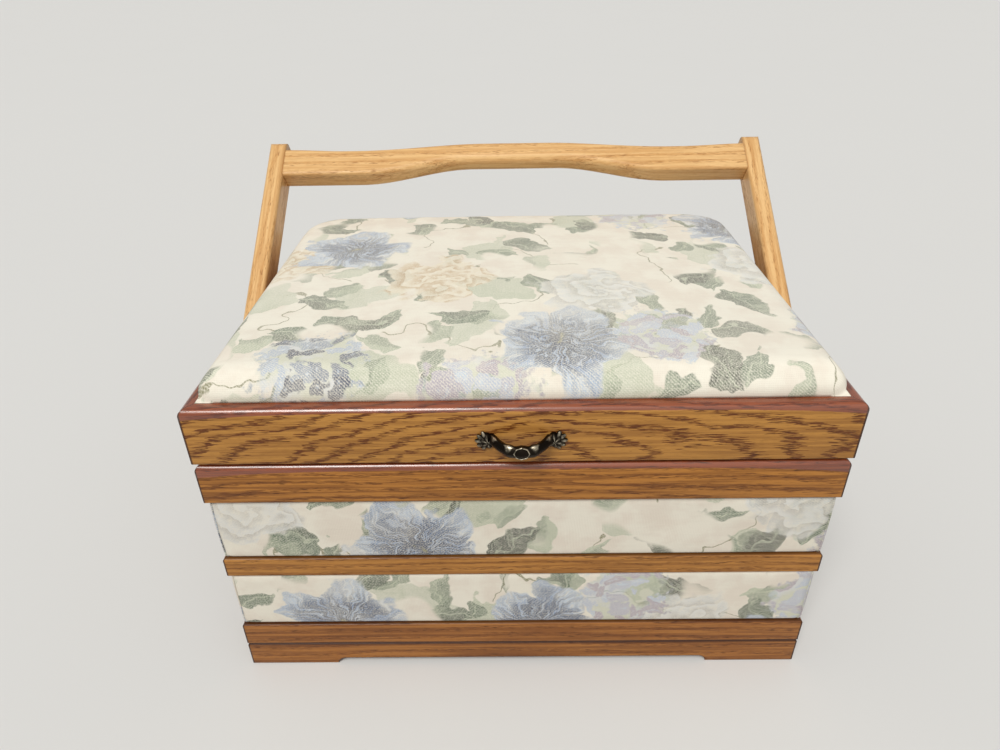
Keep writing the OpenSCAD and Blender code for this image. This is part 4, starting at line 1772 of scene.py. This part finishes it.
@dataclass
class Studio:
    """Floor, light and camera."""

    eye: Vector
    focal: float = 701.0
    frame_width: float = 1000.0
    sensor: float = 36.0
    pitch: float = 0.538497
    yaw: float = -0.013887
    roll: float = -0.01852
    pale: Colour = (0.72, 0.72, 0.71)
    floor_bounce: Colour = tint(118, 110, 102)
    floor_half: float = 40.0
    sky_light: float = 0.41

    def floor(self) -> None:
        """Lay a pale floor that reaches the horizon."""
        mesh = bmesh.new()
        bmesh.ops.create_grid(mesh, x_segments=8, y_segments=8, size=self.floor_half)
        material, desk, shader = new_material("studio_floor")
        pale = desk.place().grain(3).mix(self.pale, tuple(0.99 * c for c in self.pale))
        camera, glossy, through = (desk.read("ShaderNodeLightPath", f"Is {ray} Ray")
                                   for ray in ("Camera", "Glossy", "Transmission"))
        seen = camera.op("MAXIMUM", glossy.op("MAXIMUM", through))
        desk.fill(shader, Base_Color=seen.mix(self.floor_bounce, pale), Roughness=0.9)
        mesh_piece("studio_floor", mesh, material)

    def light(self) -> None:
        """Set a plain sky and two broad suns."""
        world = bpy.data.worlds.new("studio_sky")
        bpy.context.scene.world = world
        world.use_nodes = True
        world.node_tree.nodes.clear()
        desk = NodeDesk(world.node_tree)
        choice = desk.add("ShaderNodeMixShader")
        desk.feed(choice.inputs[0], desk.read("ShaderNodeLightPath", "Is Camera Ray"))
        for index, (colour, strength) in enumerate((((1.0, 0.99, 0.97), self.sky_light),
                                                    (self.pale, 1.0)), start=1):
            sky = desk.add("ShaderNodeBackground")
            desk.fill(sky, Color=colour, Strength=strength)
            desk.feed(choice.inputs[index], Wire(desk, sky.outputs[0]))
        desk.fill(desk.add("ShaderNodeOutputWorld"), Surface=Wire(desk, choice.outputs[0]))
        self.sun("key_sun", Vector((-0.25, -0.62, 0.9)), 2.1, 24, (1.0, 0.985, 0.95))
        self.sun("fill_sun", Vector((0.3, -0.8, 0.5)), 0.35, 60, (1.0, 0.98, 0.95))

    def sun(self, name: str, towards: Vector, strength: float, spread: float,
            colour: Colour) -> None:
        """Hang one sun.

        Args:
            name: Its name.
            towards: Direction from the box to the lamp.
            strength: Its strength.
            spread: Its angle in degrees.
            colour: Its colour.
        """
        lamp = bpy.data.lights.new(name, "SUN")
        lamp.energy = strength
        lamp.angle = math.radians(spread)
        lamp.color = colour
        holder = bpy.data.objects.new(name, lamp)
        holder.rotation_euler = towards.to_track_quat("Z", "Y").to_euler()
        bpy.context.scene.collection.objects.link(holder)

    def camera(self) -> None:
        """Stand the camera where the photograph was taken."""
        data = bpy.data.cameras.new("photo_camera")
        data.sensor_width = self.sensor
        data.lens = self.focal / self.frame_width * self.sensor
        data.clip_start = 0.01
        data.clip_end = 200
        ahead = Vector((math.sin(self.yaw) * math.cos(self.pitch),
                        math.cos(self.yaw) * math.cos(self.pitch), -math.sin(self.pitch)))
        right = Vector((math.cos(self.yaw), -math.sin(self.yaw), 0))
        up = right.cross(ahead)
        across = math.cos(self.roll) * right + math.sin(self.roll) * up
        above = math.cos(self.roll) * up - math.sin(self.roll) * right
        turned = Matrix((across, above, -ahead)).transposed().to_4x4()
        holder = bpy.data.objects.new("photo_camera", data)
        holder.matrix_world = Matrix.Translation(self.eye) @ turned
        bpy.context.scene.collection.objects.link(holder)
        bpy.context.scene.camera = holder

    def build(self) -> None:
        """Set up everything around the box."""
        bpy.context.scene.view_settings.view_transform = "Standard"
        self.camera()
        self.floor()
        self.light()


def main() -> None:
    """Build and dress the carrier."""
    logging.basicConfig(level=logging.INFO, format="%(message)s")
    Studio(Vector((-6.1, -418.3, 381.2)) * MM).build()
    Carcass().dress()
    ClothBand("lower", 0.9).build()
    ClothBand("upper", 0.13).build()
    OuterLid().dress()
    Handle().dress()
    InnerLid().dress()


if __name__ == "__main__":
    main()
